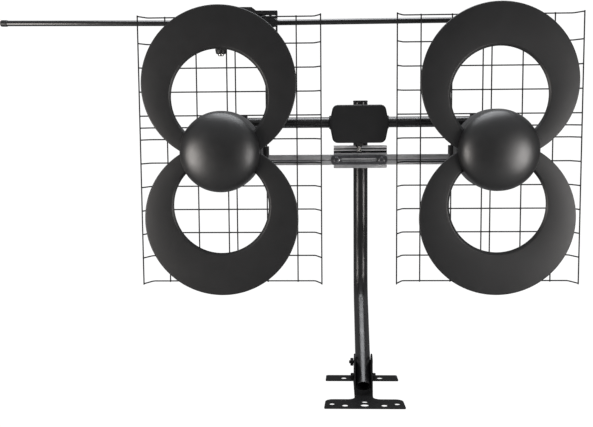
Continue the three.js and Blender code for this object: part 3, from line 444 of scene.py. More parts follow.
PLANES = {
    "XZ": Matrix(((1, 0, 0), (0, 0, 1), (0, 1, 0))),
    "XY": Matrix(((1, 0, 0), (0, 1, 0), (0, 0, 1))),
    "YZ": Matrix(((0, 0, 1), (1, 0, 0), (0, 1, 0))),
}


def area_sign(outline):
    total = 0
    for first, second in zip(outline, outline[1:] + outline[:1]):
        total += first[0] * second[1] - second[0] * first[1]
    return 1 if total > 0 else -1


def merge(mesh, part):
    data = bpy.data.meshes.new("part")
    part.to_mesh(data)
    part.free()
    mesh.from_mesh(data)
    bpy.data.meshes.remove(data)


def evaluated(holder):
    """An object's final mesh, as a bmesh."""
    made = bpy.data.meshes.new_from_object(holder.evaluated_get(bpy.context.evaluated_depsgraph_get()))
    result = bmesh.new()
    result.from_mesh(made)
    bpy.data.meshes.remove(made)
    return result


def slab(mesh, plane, outline, start, end, edge, holes=(), steps=2):
    """A flat shape with holes and rounded edges, drawn in a plane and given thickness from start to end."""
    curve = bpy.data.curves.new("slab", "CURVE")
    curve.dimensions = "2D"
    curve.fill_mode = "BOTH"
    curve.extrude = (end - start) / 2 - edge
    curve.bevel_depth = edge
    curve.bevel_resolution = steps
    curve.offset = -edge
    for ring, wanted in [(outline, -1)] + [(hole, 1) for hole in holes]:
        points = [Vector(p[:2]) for p in ring]
        if area_sign(points) != wanted:
            points.reverse()
        spline = curve.splines.new("POLY")
        spline.points.add(len(points) - 1)
        for knot, p in zip(spline.points, points):
            knot.co = (p.x, p.y, 0, 1)
        spline.use_cyclic_u = True
    holder = placed("slab", curve)
    part = evaluated(holder)
    bpy.data.objects.remove(holder)
    bpy.data.curves.remove(curve)
    bmesh.ops.remove_doubles(part, verts=part.verts, dist=1e-3)
    bmesh.ops.recalc_face_normals(part, faces=part.faces)
    for vert in part.verts:
        vert.co = PLANES[plane] @ Vector((vert.co.x, vert.co.y, vert.co.z + (start + end) / 2))
    merge(mesh, part)


def circle(x, y, radius):
    return [(x + radius * math.cos(angle), y + radius * math.sin(angle)) for angle in full_turn(28)]


def stadium(x, y, half_width, half_length, upright=True):
    """A slot with round ends, along the second axis when upright."""
    straight = half_length - half_width
    count = 10
    points = []
    for end in (1, -1):
        for k in range(count + 1):
            angle = math.pi * k / count + (0 if end > 0 else math.pi)
            points.append((half_width * math.cos(angle), end * straight + half_width * math.sin(angle)))
    if not upright:
        points = [(-b, a) for a, b in points]
    return [(x + a, y + b) for a, b in points]


def block(low, high):
    """A plain box between two corners, for cutting."""
    low, high = Vector(low), Vector(high)
    part = bmesh.new()
    bmesh.ops.create_cube(part, size=1)
    for vert in part.verts:
        vert.co = Vector(((low[i] + high[i]) / 2 + vert.co[i] * (high[i] - low[i]) for i in range(3)))
    return part


def as_object(part):
    data = bpy.data.meshes.new("part")
    bmesh.ops.recalc_face_normals(part, faces=part.faces)
    part.to_mesh(data)
    part.free()
    return placed("part", data)


def discard(thing):
    data = thing.data
    bpy.data.objects.remove(thing)
    bpy.data.meshes.remove(data)


def combined(parts, cutters):
    """Joins the part bmeshes, cuts the cutters out, and returns one bmesh."""
    base = as_object(parts[0])
    tools = []
    for operation, meshes in (("UNION", parts[1:]), ("DIFFERENCE", cutters)):
        for part in meshes:
            tools.append(as_object(part))
            step = base.modifiers.new("step", "BOOLEAN")
            step.operation = operation
            step.solver = "EXACT"
            step.object = tools[-1]
    result = evaluated(base)
    for thing in tools + [base]:
        discard(thing)
    return result


def softened(part, voxel, rounds):
    """Rebuilds a solid on a fine grid and relaxes it, so its parts flow together like moulded plastic."""
    holder = as_object(part)
    remesh = holder.modifiers.new("remesh", "REMESH")
    remesh.mode = "VOXEL"
    remesh.voxel_size = voxel
    smooth = holder.modifiers.new("smooth", "SMOOTH")
    smooth.iterations = rounds
    smooth.factor = 0.5
    result = evaluated(holder)
    discard(holder)
    return result


def from_cad(node, edge):
    """The CAD solid with its flats merged and its edges rounded."""
    part = bmesh.new()
    part.from_mesh(frame["nodes"][node].data)
    bmesh.ops.remove_doubles(part, verts=part.verts, dist=1e-6)
    bmesh.ops.scale(part, vec=(1 / MM, 1 / MM, 1 / MM), verts=part.verts)
    bmesh.ops.dissolve_limit(part, angle_limit=math.radians(2), verts=part.verts, edges=part.edges)
    sharpest = math.radians(28)
    sharp = [e for e in part.edges if len(e.link_faces) == 2 and e.calc_face_angle() > sharpest]
    bmesh.ops.bevel(part, geom=sharp, offset=edge, segments=3, affect="EDGES", profile=0.5,
                    clamp_overlap=True)
    return part


# ---------- fasteners


def hexagon(mesh, centre, axis, corner, start, end):
    """A hexagonal bar with its corners turned off at the end faces."""
    side, other = axes_for(axis)
    flat = corner * math.cos(math.pi / 6)
    chamfer = 0.6 if end > start else -0.6
    rings = []
    for along, limit in (
        (start, flat * 0.97), (start + chamfer * 0.5, flat * 1.03), (start + chamfer, corner),
        (end - chamfer, corner), (end - chamfer * 0.5, flat * 1.03), (end, flat * 0.97),
    ):
        ring = []
        for angle in full_turn(48):
            within = (angle % (math.pi / 3)) - math.pi / 6
            reach = min(flat / math.cos(within), limit)
            ring.append(mesh.verts.new(centre + axis * along + radial(side, other, angle) * reach))
        rings.append(ring)
    skin(mesh, rings)


def nut(node, centre, axis, material, gap=0.0):
    """A hexagonal nut along an axis, shorter than its place by `gap` at the far end."""
    low, high = box(node)
    mesh = bmesh.new()
    hexagon(mesh, centre, axis, (high.z - low.z) / 2, axis.dot(low), axis.dot(high) - gap)
    finish(mesh, node + "_detail", material, node, 30)


def thread(mesh, centre, axis, radius, start, end, pitch, depth):
    """A threaded rod: a helical groove on a turned bar, with a chamfered tip at `end`."""
    sign = 1 if end > start else -1
    length = abs(end - start)
    count = max(int(length / (pitch / 4)), 4)

    def groove(angle, r, along):
        phase = (along / pitch - angle / (2 * math.pi)) % 1
        fade = min(1, abs(along - end) / 1.2)
        return radius - depth * (1 - abs(2 * phase - 1)) - (1 - fade) * depth, along

    profile = [(0, start)]
    profile += [(radius, start + sign * length * k / count) for k in range(count + 1)]
    profile += [(0, end)]
    lathe(mesh, profile, centre, axis, 24, shape=groove)


def cross_head(mesh, centre, axis, radius, base, top):
    """A domed screw head with a cross recess."""

    def recess(angle, r, along):
        arm = abs(math.sin(2 * angle))
        width = 0.34
        inside = r < radius * 0.62 and arm < width * (1.4 - r / radius)
        return r, along - (top - base) * 0.45 * (1 if inside else 0)

    rise = top - base
    profile = [(0, base), (radius, base), (radius, base + rise * 0.35)]
    for k in range(1, 15):
        part = 1 - k / 15
        profile.append((radius * part, base + rise * (0.35 + 0.65 * math.sqrt(1 - part * part))))
    profile.append((0, base + rise * 0.55))
    lathe(mesh, profile, centre, axis, 48, shape=recess)


def pan_screw(node, shank, head_height):
    """A screw along Y whose head faces the back."""
    low, high = box(node)
    centre = centre_line(node)
    mesh = bmesh.new()
    thread(mesh, centre, Y, shank, high.y - head_height + 0.2, low.y, 0.9, 0.3)
    cross_head(mesh, centre, Y, (high.z - low.z) / 2, high.y - head_height, high.y)
    finish(mesh, node + "_detail", "fastener", node, 30)


# ---------- reflector screens

WIRE = 2.6
WIRE_END_ROUND = 0.3
UPRIGHT_PLACES = (8.2, 66.6, 125.1)
RUNG_PITCH = 45.3
RUNGS = 10
FLANGE_START = 159


def wire(mesh, points, across=None):
    """A round wire along a path, with both ends rounded."""
    path = [Vector(point) for point in points]
    radius = WIRE / 2
    stations = [(point, direction, radius) for point, direction in zip(path, directions_of(path))]
    for end, sign in ((0, 1), (-1, -1)):
        point, direction, _ = stations[end]
        rounded = []
        for step in (0, 1, 2):
            angle = quarter(step, 3)
            inset = WIRE_END_ROUND * (1 - math.sin(angle))
            spot = point + direction * sign * WIRE_END_ROUND * (1 - math.cos(angle))
            rounded.append((spot, direction, radius - inset))
        rounded.append((point + direction * sign * WIRE_END_ROUND, direction, radius))
        stations = rounded + stations[1:] if end == 0 else stations[:-1] + rounded[::-1]
    side = across or stations[0][1].orthogonal().normalized()
    rings = []
    for point, direction, size in stations:
        side = (side - direction * side.dot(direction)).normalized()
        rings.append(ring_at(mesh, point, side, direction.cross(side), size, 12))
    skin(mesh, rings)


def screen(word):
    """Welded wires: rungs bent forward at both ends, uprights in front of them, and a bead at each weld."""
    node = "reflector_screen_" + word
    low, high = box(node)
    cx, cz = (low.x + high.x) / 2, (low.z + high.z) / 2
    plane = high.y - WIRE / 2
    flange = (high.x - low.x) / 2 - WIRE / 2 - 0.2
    front = low.y + WIRE / 2
    half_height = (high.z - low.z) / 2 - WIRE / 2 - 0.4
    heights = [-half_height, half_height, RUNG_PITCH]
    heights += [(i - (RUNGS - 1) / 2) * RUNG_PITCH for i in range(RUNGS)]
    mesh = bmesh.new()
    tip = front + WIRE * 0.6
    shape = filleted([(-flange, tip), (-FLANGE_START, plane), (FLANGE_START, plane), (flange, tip)],
                     7, 6, closed=False)
    for z in heights:
        wire(mesh, [(cx + p[0], p[1], cz + z) for p in shape], across=Z)
    top = half_height + WIRE / 2 + 0.4
    uprights = [(sign * x, plane - WIRE + 0.5) for x in UPRIGHT_PLACES for sign in (-1, 1)]
    uprights += [(sign * flange, front) for sign in (-1, 1)]
    for x, y in uprights:
        wire(mesh, [(cx + x, y, cz - top), (cx + x, y, cz + top)])
        for z in heights:
            weld(mesh, Vector((cx + x, y + WIRE / 2 - 0.25, cz + z)))
    finish(mesh, "wire_screen_" + word, "wire_coating", node, 50)


def weld(mesh, centre):
    """The small squeezed-out bead where two wires are welded."""
    made = bmesh.ops.create_icosphere(mesh, subdivisions=1, radius=1)
    for vert in made["verts"]:
        vert.co = centre + Vector((vert.co.x * 1.45, vert.co.y * 0.95, vert.co.z * 1.45))


# ---------- loops and hubs

LOOP_INNER_RADIUS = 85
LOOP_INNER_UP = 96.6
LOOP_STEPS = 200
OUTER_ROLL = 1.6
INNER_BEVEL = 4.6
SPLIT_HALF = 1.5
FEED_HALF = 6
DOME_RADIUS = 71.5
DOME_WALL = 2.6
DOME_SKIRT = 1.4
BOWL_BACK = -80
NECK = 25


def loop_section(width, front, back):
    """A loop's cross-section, from its opening across the front to its rolled edge and the back."""
    bevel = min(INNER_BEVEL, width * 0.3)
    return [
        (0.0, back), (0.0, back - 1.1), (0.35, back - 1.6), (bevel - 0.5, front + 0.45),
        (bevel, front + 0.12), (bevel + 0.8, front), (width * 0.5, front), (width - OUTER_ROLL - 0.6, front),
        (width - OUTER_ROLL, front + 0.1), (width - OUTER_ROLL * 0.5, front + 0.42),
        (width - OUTER_ROLL * 0.14, front + 1.0), (width, front + OUTER_ROLL), (width, back - 0.5),
        (width - 0.5, back),
    ]


def loop(word, up):
    """A tapered ring of formed sheet: flat face, rolled outer edge and a wide bevel round its opening."""
    node = ("upper_loop_" if up > 0 else "lower_loop_") + word
    low, high = box(node)
    hub = middle("hub_dome_" + word)
    radius = (high.x - low.x) / 2
    cx = (low.x + high.x) / 2
    centre = Vector((cx, high.z - radius if up > 0 else low.z + radius))
    lift = (centre - Vector((hub.x, hub.z))).normalized()
    opening = Vector((hub.x, hub.z)) + lift * LOOP_INNER_UP
    limit = hub.z + up * SPLIT_HALF
    mesh = bmesh.new()
    rings = []
    for i in range(LOOP_STEPS + 1):
        angle = math.radians(-90 + 360 * i / LOOP_STEPS)
        out = Vector((radius * math.cos(angle), radius * math.sin(angle)))
        inn = Vector((LOOP_INNER_RADIUS * math.cos(angle), LOOP_INNER_RADIUS * math.sin(angle)))
        outer = centre + Vector((out.x, up * out.y))
        inner = opening + Vector((inn.x, up * inn.y))
        along = (outer - inner).normalized()
        ring = []
        for across, y in loop_section((outer - inner).length, low.y, high.y):
            spot = inner + along * across
            z = max(spot.y, limit) if up > 0 else min(spot.y, limit)
            ring.append(mesh.verts.new((spot.x, y, z)))
        rings.append(ring)
    keep = [ring for ring in rings if ring_clear(ring, hub.x, hub.z)]
    for first, second in zip(keep, keep[1:]):
        bridge(mesh, first, second)
    mesh.faces.new(keep[0])
    mesh.faces.new(keep[-1][::-1])
    loose = [vert for vert in mesh.verts if not vert.link_faces]
    bmesh.ops.delete(mesh, geom=loose, context="VERTS")
    finish(mesh, ("loop_upper_" if up > 0 else "loop_lower_") + word, "loop_coating", node, 30)


def ring_clear(ring, hub_x, hub_z):
    """False where the strip would cross the feed gap under the hub's cover."""
    half = FEED_HALF + 2
    return not all(abs(vert.co.x - hub_x) < half and abs(vert.co.z - hub_z) < 30 for vert in ring)


def dome(word):
    """The hub's hollow domed cover, with a short straight skirt at its rim."""
    node = "hub_dome_" + word
    low, high = box(node)
    radius = (high.x - low.x) / 2
    bulge = high.y - low.y
    rim = high.y
    profile = [(0, rim - bulge + 2.4)]
    for k in range(14, -1, -1):
        angle = quarter(k, 15)
        profile.append(((radius - DOME_WALL) * math.cos(angle), rim - (bulge - DOME_WALL) * math.sin(angle)))
    profile += [(radius - 0.6, rim), (radius, rim - 0.6), (radius, rim - DOME_SKIRT)]
    for k in range(1, 30):
        angle = quarter(k, 30)
        drop = (bulge - DOME_SKIRT) * math.sin(angle)
        profile.append((radius * math.cos(angle), rim - DOME_SKIRT - drop))
    profile.append((0, low.y))
    turned("hub_cover_" + word, "hub_plastic", node, 50, profile, centre_line(node), Y, 128)


def housing(word):
    """The bowl and neck behind a hub. Its rim is let down where the loops pass through it."""
    node = "hub_rear_housing_" + word
    low, high = box(node)
    radius = (high.x - low.x) / 2
    rim, flange = low.y, high.y
    loop_back = box("upper_loop_" + word)[1].y + 0.3
    back = BOWL_BACK + box("reflector_screen_" + word)[1].y - WIRE / 2
    foot_radius = NECK + 13
    inner_rim = DOME_RADIUS - DOME_WALL
    outline = filleted([
        (DOME_RADIUS, rim, 0), (radius, rim + 14, 20), (radius, back - 8, 5), (radius - 6.5, back, 5),
        (NECK + 7, back, 5), (NECK, back + 9, 8), (NECK, flange - 10, 6), (foot_radius, flange - 5, 1.5),
        (foot_radius, flange, 0.8), (NECK - 5, flange, 0.5), (NECK - 5, back + 4, 4),
        (NECK - 2, back - DOME_WALL, 3), (radius - 9, back - DOME_WALL, 4), (inner_rim, back - 9, 5),
        (inner_rim, rim, 0),
    ], 1, 5)

    def let_down(angle, r, along):
        clear = abs(math.cos(angle)) > math.sin(math.radians(32.5))
        return r, along if clear else max(along, loop_back)

    mesh = bmesh.new()
    lathe(mesh, outline, centre_line(node), Y, 128, closed=True, shape=let_down)
    for angle in full_turn(12):
        rib(mesh, centre_line(node), Vector((math.cos(angle), 0, math.sin(angle))), foot_radius, flange)
    finish(mesh, "hub_bowl_" + word, "hub_plastic", node, 35)


def rib(mesh, centre, side, foot_radius, flange):
    """A thin gusset between the neck and its flange."""
    up = Y.cross(side)
    profile = [
        (NECK - 1, flange - 4.6), (foot_radius - 1.5, flange - 4.6), (foot_radius - 1.5, flange - 5.6),
        (NECK + 1.2, flange - 26), (NECK - 1, flange - 26),
    ]
    skin(mesh, [[mesh.verts.new(centre + side * r + Y * y + up * offset) for r, y in profile]
                for offset in (-0.9, 0.9)])


# ---------- boom, bar, brackets

BOOM_WALL = 1.7


def boom(word):
    """A round tube along X with eased edges."""
    node = "boom_" + word
    low, high = box(node)
    centre = Vector((0, (low.y + high.y) / 2, (low.z + high.z) / 2))
    radius = (high.z - low.z) / 2
    bore = radius - BOOM_WALL
    profile = filleted([(radius, low.x), (radius, high.x), (bore, high.x), (bore, low.x)], 0.4, 3)
    turned("boom_tube_" + word, "boom_paint", node, 40, profile, centre, X, 64, closed=True)


def support_bar():
    """The long bar, with painted shade on the floor of its front groove."""
    piece = finish(from_cad("support_bar", 0.5), "support_bar_detail", "zinc", "support_bar", 30)
    # Painted shade on the floor of the front groove.
    paint_groove_shadow(piece, box("support_bar")[0].y + 0.3)


def bracket(word):
    node = "rear_bracket_" + word
    finish(from_cad(node, 1.0), "bracket_" + word, "box_plastic", node, 30)


def bar_bolt(word):
    """A hexagonal bolt from the back, with its threaded end forward."""
    node = "bar_bolt_" + word
    low, high = box(node)
    face = high.y - 3.9
    mesh = bmesh.new()
    thread(mesh, centre_line(node), Y, 2.8, face, low.y, 1.0, 0.35)
    hexagon(mesh, centre_line(node), Y, (high.z - low.z) / 2, face, high.y)
    finish(mesh, node + "_detail", "fastener", node, 30)


# ---------- combiner box

BOX_WALL = 2.4
BOX_LEAN = 7.2
BOX_CORNER = 11
SOCKET_RADIUS = 13
BOOM_HOLE = 10.6


def box_outline(centre, half_x, half_z, inset=0.0):
    """Flat top and bottom, and sides that lean out to the boom sockets."""
    x, z = half_x - inset, half_z - inset
    corner = BOX_CORNER - inset
    points = filleted([
        (-x, 0, 8), (-x + BOX_LEAN, z, corner), (x - BOX_LEAN, z, corner),
        (x, 0, 8), (x - BOX_LEAN, -z, corner), (-x + BOX_LEAN, -z, corner),
    ], 8, 8)
    return [(centre.x + p[0], centre.z + p[1]) for p in points]


def box_shell(front):
    """Half of the moulded box, with its share of the boom sockets."""
    node = "combiner_front_shell" if front else "combiner_rear_shell"
    low, high = box(node)
    rear_low, rear_high = box("combiner_rear_shell")
    centre = Vector(((rear_low.x + rear_high.x) / 2, 0, (rear_low.z + rear_high.z) / 2))
    boom_middle = middle("boom_left")
    boom_line = Vector((centre.x, boom_middle.y, boom_middle.z))
    reach = (rear_high.x - rear_low.x) / 2
    half_x = reach - 0.6
    half_z = (rear_high.z - rear_low.z) / 2
    start, end = low.y, high.y
    body = bmesh.new()
    edge = 2.4 if front else 2.0
    slab(body, "XZ", box_outline(centre, half_x, half_z), start, end, edge, steps=5)
    sockets = bmesh.new()
    ends = [(0, -reach, 0), (SOCKET_RADIUS, -reach, 1.2), (SOCKET_RADIUS, reach, 1.2), (0, reach, 0)]
    lathe(sockets, off_axis(filleted(ends, 1, 3, closed=False)), boom_line, X, 48)
    near, far = (end, end + 60) if front else (start - 60, start)
    wrong_side = block((centre.x - 90, near, centre.z - 60), (centre.x + 90, far, centre.z + 60))
    boom_hole = bmesh.new()
    lathe(boom_hole, [(0, -90), (BOOM_HOLE, -90), (BOOM_HOLE, 90), (0, 90)], boom_line, X, 48)
    shape = softened(combined([body, sockets], [wrong_side]), 0.8, 5)
    hollow = bmesh.new()
    deep = (start + BOX_WALL, end + 4) if front else (start - 4, end - BOX_WALL)
    slab(hollow, "XZ", box_outline(centre, half_x, half_z, BOX_WALL), *deep, 0.6)
    shape = combined([shape], [hollow, boom_hole])
    if front:
        port = Vector((centre.x, middle("coax_connector").y, 0))
        bottom = low.z
        top = centre.z - half_z + 1
        collar = bmesh.new()
        ring = filleted([(5.2, bottom, 0.4), (6.2, bottom, 0.6), (8.0, top, 0), (5.2, top, 0)], 0.5, 3)
        lathe(collar, ring, port, Z, 48, closed=True)
        merge(shape, collar)
    finish(shape, "combiner_box_" + ("front" if front else "back"), "box_plastic", node, 40)


def coax_port():
    """A threaded coaxial barrel with a small centre socket."""
    node = "coax_connector"
    low, high = box(node)
    bottom, top = low.z, high.z
    pitch, depth, barrel = 0.8, 0.5, 4.75

    def grooved(angle, r, along):
        phase = (along / pitch - angle / (2 * math.pi)) % 1
        on_thread = 4.3 < r and bottom + 0.5 < along < bottom + 12
        return (r - depth * abs(2 * phase - 1) if on_thread else r), along

    profile = [(0, bottom + 5), (1.2, bottom + 5), (1.2, bottom + 0.4), (3.9, bottom + 0.4), (4.1, bottom)]
    profile += [(barrel, bottom + 0.4 + 0.2 * k) for k in range(60)]
    profile += [(barrel, top - 1), (4.4, top), (0, top)]
    turned("coax_barrel", "nickel", node, 40, profile, upright_line(node), Z, 48, shape=grooved)


# ---------- mast clamp

MAST_RADIUS = 14
JAW_GAP = 0.3
JAW_WALL = 3
BOLT_HEAD = 3.6
BOLT_CROWN = 2.8
BOLT_RIM = 0.8


def clamp_strap():
    """A flat plate with rounded corners, a long slot and two bolt holes."""
    node = "clamp_strap"
    low, high = box(node)
    cx, cz = middle(node).x, middle(node).z
    half_x, half_z = (high.x - low.x) / 2, (high.z - low.z) / 2
    corners = [(cx + a * half_x, cz + b * half_z) for a, b in ((-1, -1), (1, -1), (1, 1), (-1, 1))]
    bolt = abs(middle("clamp_bolt_right").x - cx)
    holes = [stadium(cx, cz, 3, 34, upright=False)] + [circle(cx + sign * bolt, cz, 3.3) for sign in (-1, 1)]
    mesh = bmesh.new()
    slab(mesh, "XZ", filleted(corners, 7, 6), low.y, high.y, 0.7, holes)
    finish(mesh, "strap_plate", "dark_zinc", node, 30)


def clamp_channel():
    """The pressed channel: a painted highlight above the strap, plain zinc below it, and painted shade on the
    floors of its front grooves.
    """
    piece = finish(from_cad("clamp_channel", 0.5), "channel_plate", "bright_zinc", "clamp_channel", 30)
    # Painted shade on the floors of the front grooves.
    paint_groove_shadow(piece, box("clamp_channel")[0].y + 0.4)
    piece.data.materials.append(MATERIALS["zinc"])
    # Faces below the strap get plain zinc; the faces above keep the lighter copy, which is a painted
    # highlight.
    strap_line = middle("clamp_strap").z
    for face in piece.data.polygons:
        if face.center.z / MM < strap_line:
            face.material_index = 2


def paint_groove_shadow(piece, front):
    """Paints shade: gives the near-black groove_shadow material to the faces up to 2 mm behind `front` that
    face forward.
    """
    piece.data.materials.append(MATERIALS["groove_shadow"])
    for face in piece.data.polygons:
        if front < face.center.y / MM < front + 2 and face.normal.y < -0.5:
            face.material_index = 1


def wrap(cx, cy, radius, start):
    """An arc from the angle `start` to its mirror image on the other side of the mast."""
    angles = [start + (math.pi - 2 * start) * k / 24 for k in range(25)]
    return [(cx + radius * math.cos(a), cy + radius * math.sin(a)) for a in angles]


def clamp_jaw():
    """The rear jaw: a pressed strip that wraps half of the mast."""
    node = "clamp_rear_jaw"
    low, high = box(node)
    mast_low, mast_high = box("mast_end_cap")
    mx, my = (mast_low.x + mast_high.x) / 2, (mast_low.y + mast_high.y) / 2
    inner = MAST_RADIUS + JAW_GAP
    outer = inner + JAW_WALL
    front, back = low.y, low.y + JAW_WALL
    lean = front - my
    inside = wrap(mx, my, inner, math.asin(lean / inner))
    outside = wrap(mx, my, outer, math.asin((lean + JAW_WALL) / outer))
    outline = [(high.x, front)] + inside + [(low.x, front), (low.x, back)] + outside[::-1] + [(high.x, back)]
    mesh = bmesh.new()
    slab(mesh, "XY", outline, low.z, high.z, 0.5)
    finish(mesh, "jaw_plate", "zinc", node, 30)


def clamp_bolt(word):
    """A round-headed bolt through the strap, the bar and the channel, with its nut behind the jaw."""
    node = "clamp_bolt_" + word
    low, high = box(node)
    centre = centre_line(node)
    radius = (high.x - low.x) / 2
    face = low.y + BOLT_HEAD
    mesh = bmesh.new()
    profile = [(0, low.y)]
    for k in range(1, 9):
        angle = quarter(k, 9)
        profile.append((radius * math.sin(angle), face - BOLT_RIM - BOLT_CROWN * math.cos(angle)))
    profile += [(radius, face - BOLT_RIM), (radius - 0.4, face), (0, face)]
    lathe(mesh, profile, centre, Y, 48)
    thread(mesh, centre, Y, 3, face - 0.2, high.y, 1.0, 0.4)
    finish(mesh, node + "_detail", "dark_zinc", node, 32)
    nut("clamp_nut_" + word, centre, Y, "fastener")


# ---------- side dipole


def rod(word):
    """One rod of the dipole, with the cap pushed on its outer end."""
    node, cap = "dipole_rod_" + word, "rod_cap_" + word
    along = (middle(cap) - middle(node)).normalized()
    low, high = box(node)
    half = (high.x - low.x) / 2 - 0.1
    profile = [(0, -half), (5, -half), (5.4, 0.4 - half), (5.4, half - 0.5), (4.9, half), (0, half)]
    turned("rod_" + word, "rod_paint", node, 35, profile, middle(node), along, 48)
    low, high = box(cap)
    tip = (high.x - low.x) / 2 - 0.1
    profile = [(0, tip - 2.7), (5.5, tip - 2.7), (5.5, -tip), (6.1, 0.4 - tip), (6.3, 1 - tip)]
    profile += [(6.3, tip - 3.5), (6, tip - 1.9), (5.1, tip - 0.6), (3.2, tip), (0, tip)]
    turned("rod_end_" + word, "holder_plastic", cap, 40, profile, middle(cap), along, 48)


def dipole_parts():
    """The holder, its back cover, and the plug with a knurled knob that hangs square to the left rod."""
    finish(from_cad("dipole_holder", 0.6), "holder_front", "holder_plastic", "dipole_holder", 30)
    finish(from_cad("dipole_cover", 0.7), "holder_back", "holder_plastic", "dipole_cover", 30)
    node = "dipole_connector"
    low, high = box(node)
    down = (middle("dipole_rod_left") - middle("rod_cap_left")).cross(Y).normalized()
    if down.z > 0:
        down = -down
    top = Vector((middle(node).x, middle(node).y, high.z))
    length = high.z - low.z
    ridges, ridge_height = 28, 0.3

    def knurled(angle, r, along):
        return (r + ridge_height * math.sin(angle * ridges) if r > 9 and 7 < along < 23 else r), along

    corners = [(0, 0), (6, 0), (6, 5.3), (10.6, 5.5), (10.9, 8), (10.5, 18), (9.6, 25), (6, 26.2), (0, 26.2)]
    knob = off_axis(filleted(corners, 0.9, 4, closed=False))
    turned("plug_knob", "holder_plastic", node, 40, knob, top, down, 112, shape=knurled)
    tip = [(0, 26), (5.9, 26), (5.9, 27.2), (5.7, 27.6), (5.3, 27.95), (5.7, 27.6 + 0.7), (5.3, 27.95 + 0.7)]
    tip += [(5.4, length - 0.4), (5, length), (1.6, length), (1.6, length - 5), (0, length - 5)]
    turned("plug_tip", "nickel", node, 30, tip, top, down, 48)


# ---------- mast

MAST_WALL = 1.6
MAST_TAIL = 20
MAST_EASE = 0.4
BEND_RADIUS = 75
BEND_STEPS = 24
LEAN = math.radians(50)


def mast_line():
    """Centre line of the tube from its tail, round the bend and up to its top."""
    pivot = middle("pivot_bolt")
    upright = middle("mast_end_cap")
    top = box("mast_tube")[1].z
    tail = Vector((0, pivot.y, pivot.z)) - Vector((0, math.sin(LEAN), math.cos(LEAN))) * MAST_TAIL
    corner = pivot.z + (upright.y - pivot.y) / math.tan(LEAN)
    centre = Vector((0, upright.y - BEND_RADIUS, corner + BEND_RADIUS * math.tan(LEAN / 2)))
    points = [tail]
    for k in range(BEND_STEPS + 1):
        angle = -LEAN * (1 - k / BEND_STEPS)
        points.append(centre + Vector((0, math.cos(angle), math.sin(angle))) * BEND_RADIUS)
    points.append(Vector((0, upright.y, top)))
    return points


def mast():
    """A bent tube with open ends."""
    line = mast_line()
    directions = directions_of(line)
    first, last = directions[0], directions[-1]
    inner = MAST_RADIUS - MAST_WALL
    stations = [(line[0], first, MAST_RADIUS - MAST_EASE), (line[0] + first * MAST_EASE, first, MAST_RADIUS)]
    stations += [(p, d, MAST_RADIUS) for p, d in zip(line[1:-1], directions[1:-1])]
    stations += [(line[-1] - last * MAST_EASE, last, MAST_RADIUS), (line[-1], last, MAST_RADIUS - MAST_EASE)]
    stations += [(line[-1], last, inner)]
    stations += [(p, d, inner) for p, d in zip(line[-2:0:-1], directions[-2:0:-1])]
    stations += [(line[0], first, inner)]
    mesh = bmesh.new()
    rings = [ring_at(mesh, point, X, direction.cross(X), radius, 64) for point, direction, radius in stations]
    for one, two in zip(rings, rings[1:] + rings[:1]):
        bridge(mesh, one, two)
    finish(mesh, "bent_mast", "mast_paint", "mast_tube", 40)


def mast_cap():
    """The plastic cap in the tube's top end: a tapered plug under a thin round head."""
    node = "mast_end_cap"
    low, high = box(node)
    top = high.z
    rim = top - 2.9
    profile = filleted([
        (0, low.z, 0), (11.7, low.z, 0.6), (12.1, rim, 0), (14.4, rim, 0.4), (14.4, top, 1.4), (0, top, 0),
    ], 0.5, 4, closed=False)
    turned("mast_cap", "holder_plastic", node, 40, off_axis(profile), upright_line(node), Z, 64)


# ---------- foot

PLATE = 2.4
FRONT_ARM = 50
REAR_ARM = 35.5
EAR_INNER = 14.4
EAR_RADIUS = 42.5
EAR_BACK = 27
SLOT_RADIUS = 33.5
SLOT_HALF = 3.6
SLOT_START = 5
SLOT_SWEEP = 90
FOLD_RADIUS = 3


def foot_outline(half_x, front, back):
    """The flat plate seen from above: a wide front arm and rear arm joined by a narrow web."""
    web = EAR_INNER + PLATE
    rear_x = half_x - 1.5
    inner_front, inner_rear = front + FRONT_ARM, back - REAR_ARM
    return filleted([
        (-half_x, front, 3), (half_x, front, 3), (half_x - 2.4, inner_front, 14), (web, inner_front, 13),
        (web, inner_rear, 2), (rear_x, inner_rear, 3), (rear_x - 1, back, 4), (1 - rear_x, back, 4),
        (-rear_x, inner_rear, 3), (-web, inner_rear, 2), (-web, inner_front, 13),
        (-half_x + 2.4, inner_front, 14),
    ], 5, 6)


def ear_outline(pivot):
    """An ear from the side: straight at its back edge, round over the slot and down to the plate."""
    points = [(pivot.y - EAR_BACK, 0.6)]
    for k in range(29):
        angle = math.radians(112 * (1 - k / 28))
        points.append((pivot.y + EAR_RADIUS * math.cos(angle), pivot.z + EAR_RADIUS * math.sin(angle)))
    points.append((pivot.y + EAR_RADIUS, 0.6))
    return points


def arc_slot(pivot):
    """The slot round the pivot that the lock bolt runs in, with half-round ends."""
    points = []
    for radius, turn in ((SLOT_RADIUS + SLOT_HALF, 1), (SLOT_RADIUS - SLOT_HALF, -1)):
        angles = [math.radians(SLOT_START + SLOT_SWEEP * k / 20) for k in range(21)][::turn]
        points += [(pivot.y + radius * math.cos(a), pivot.z + radius * math.sin(a)) for a in angles]
        end = angles[-1]
        centre = (pivot.y + SLOT_RADIUS * math.cos(end), pivot.z + SLOT_RADIUS * math.sin(end))
        for k in range(1, 8):
            spin = end + (0 if turn > 0 else math.pi) + math.pi * k / 8
            points.append((centre[0] + SLOT_HALF * math.cos(spin), centre[1] + SLOT_HALF * math.sin(spin)))
    return points


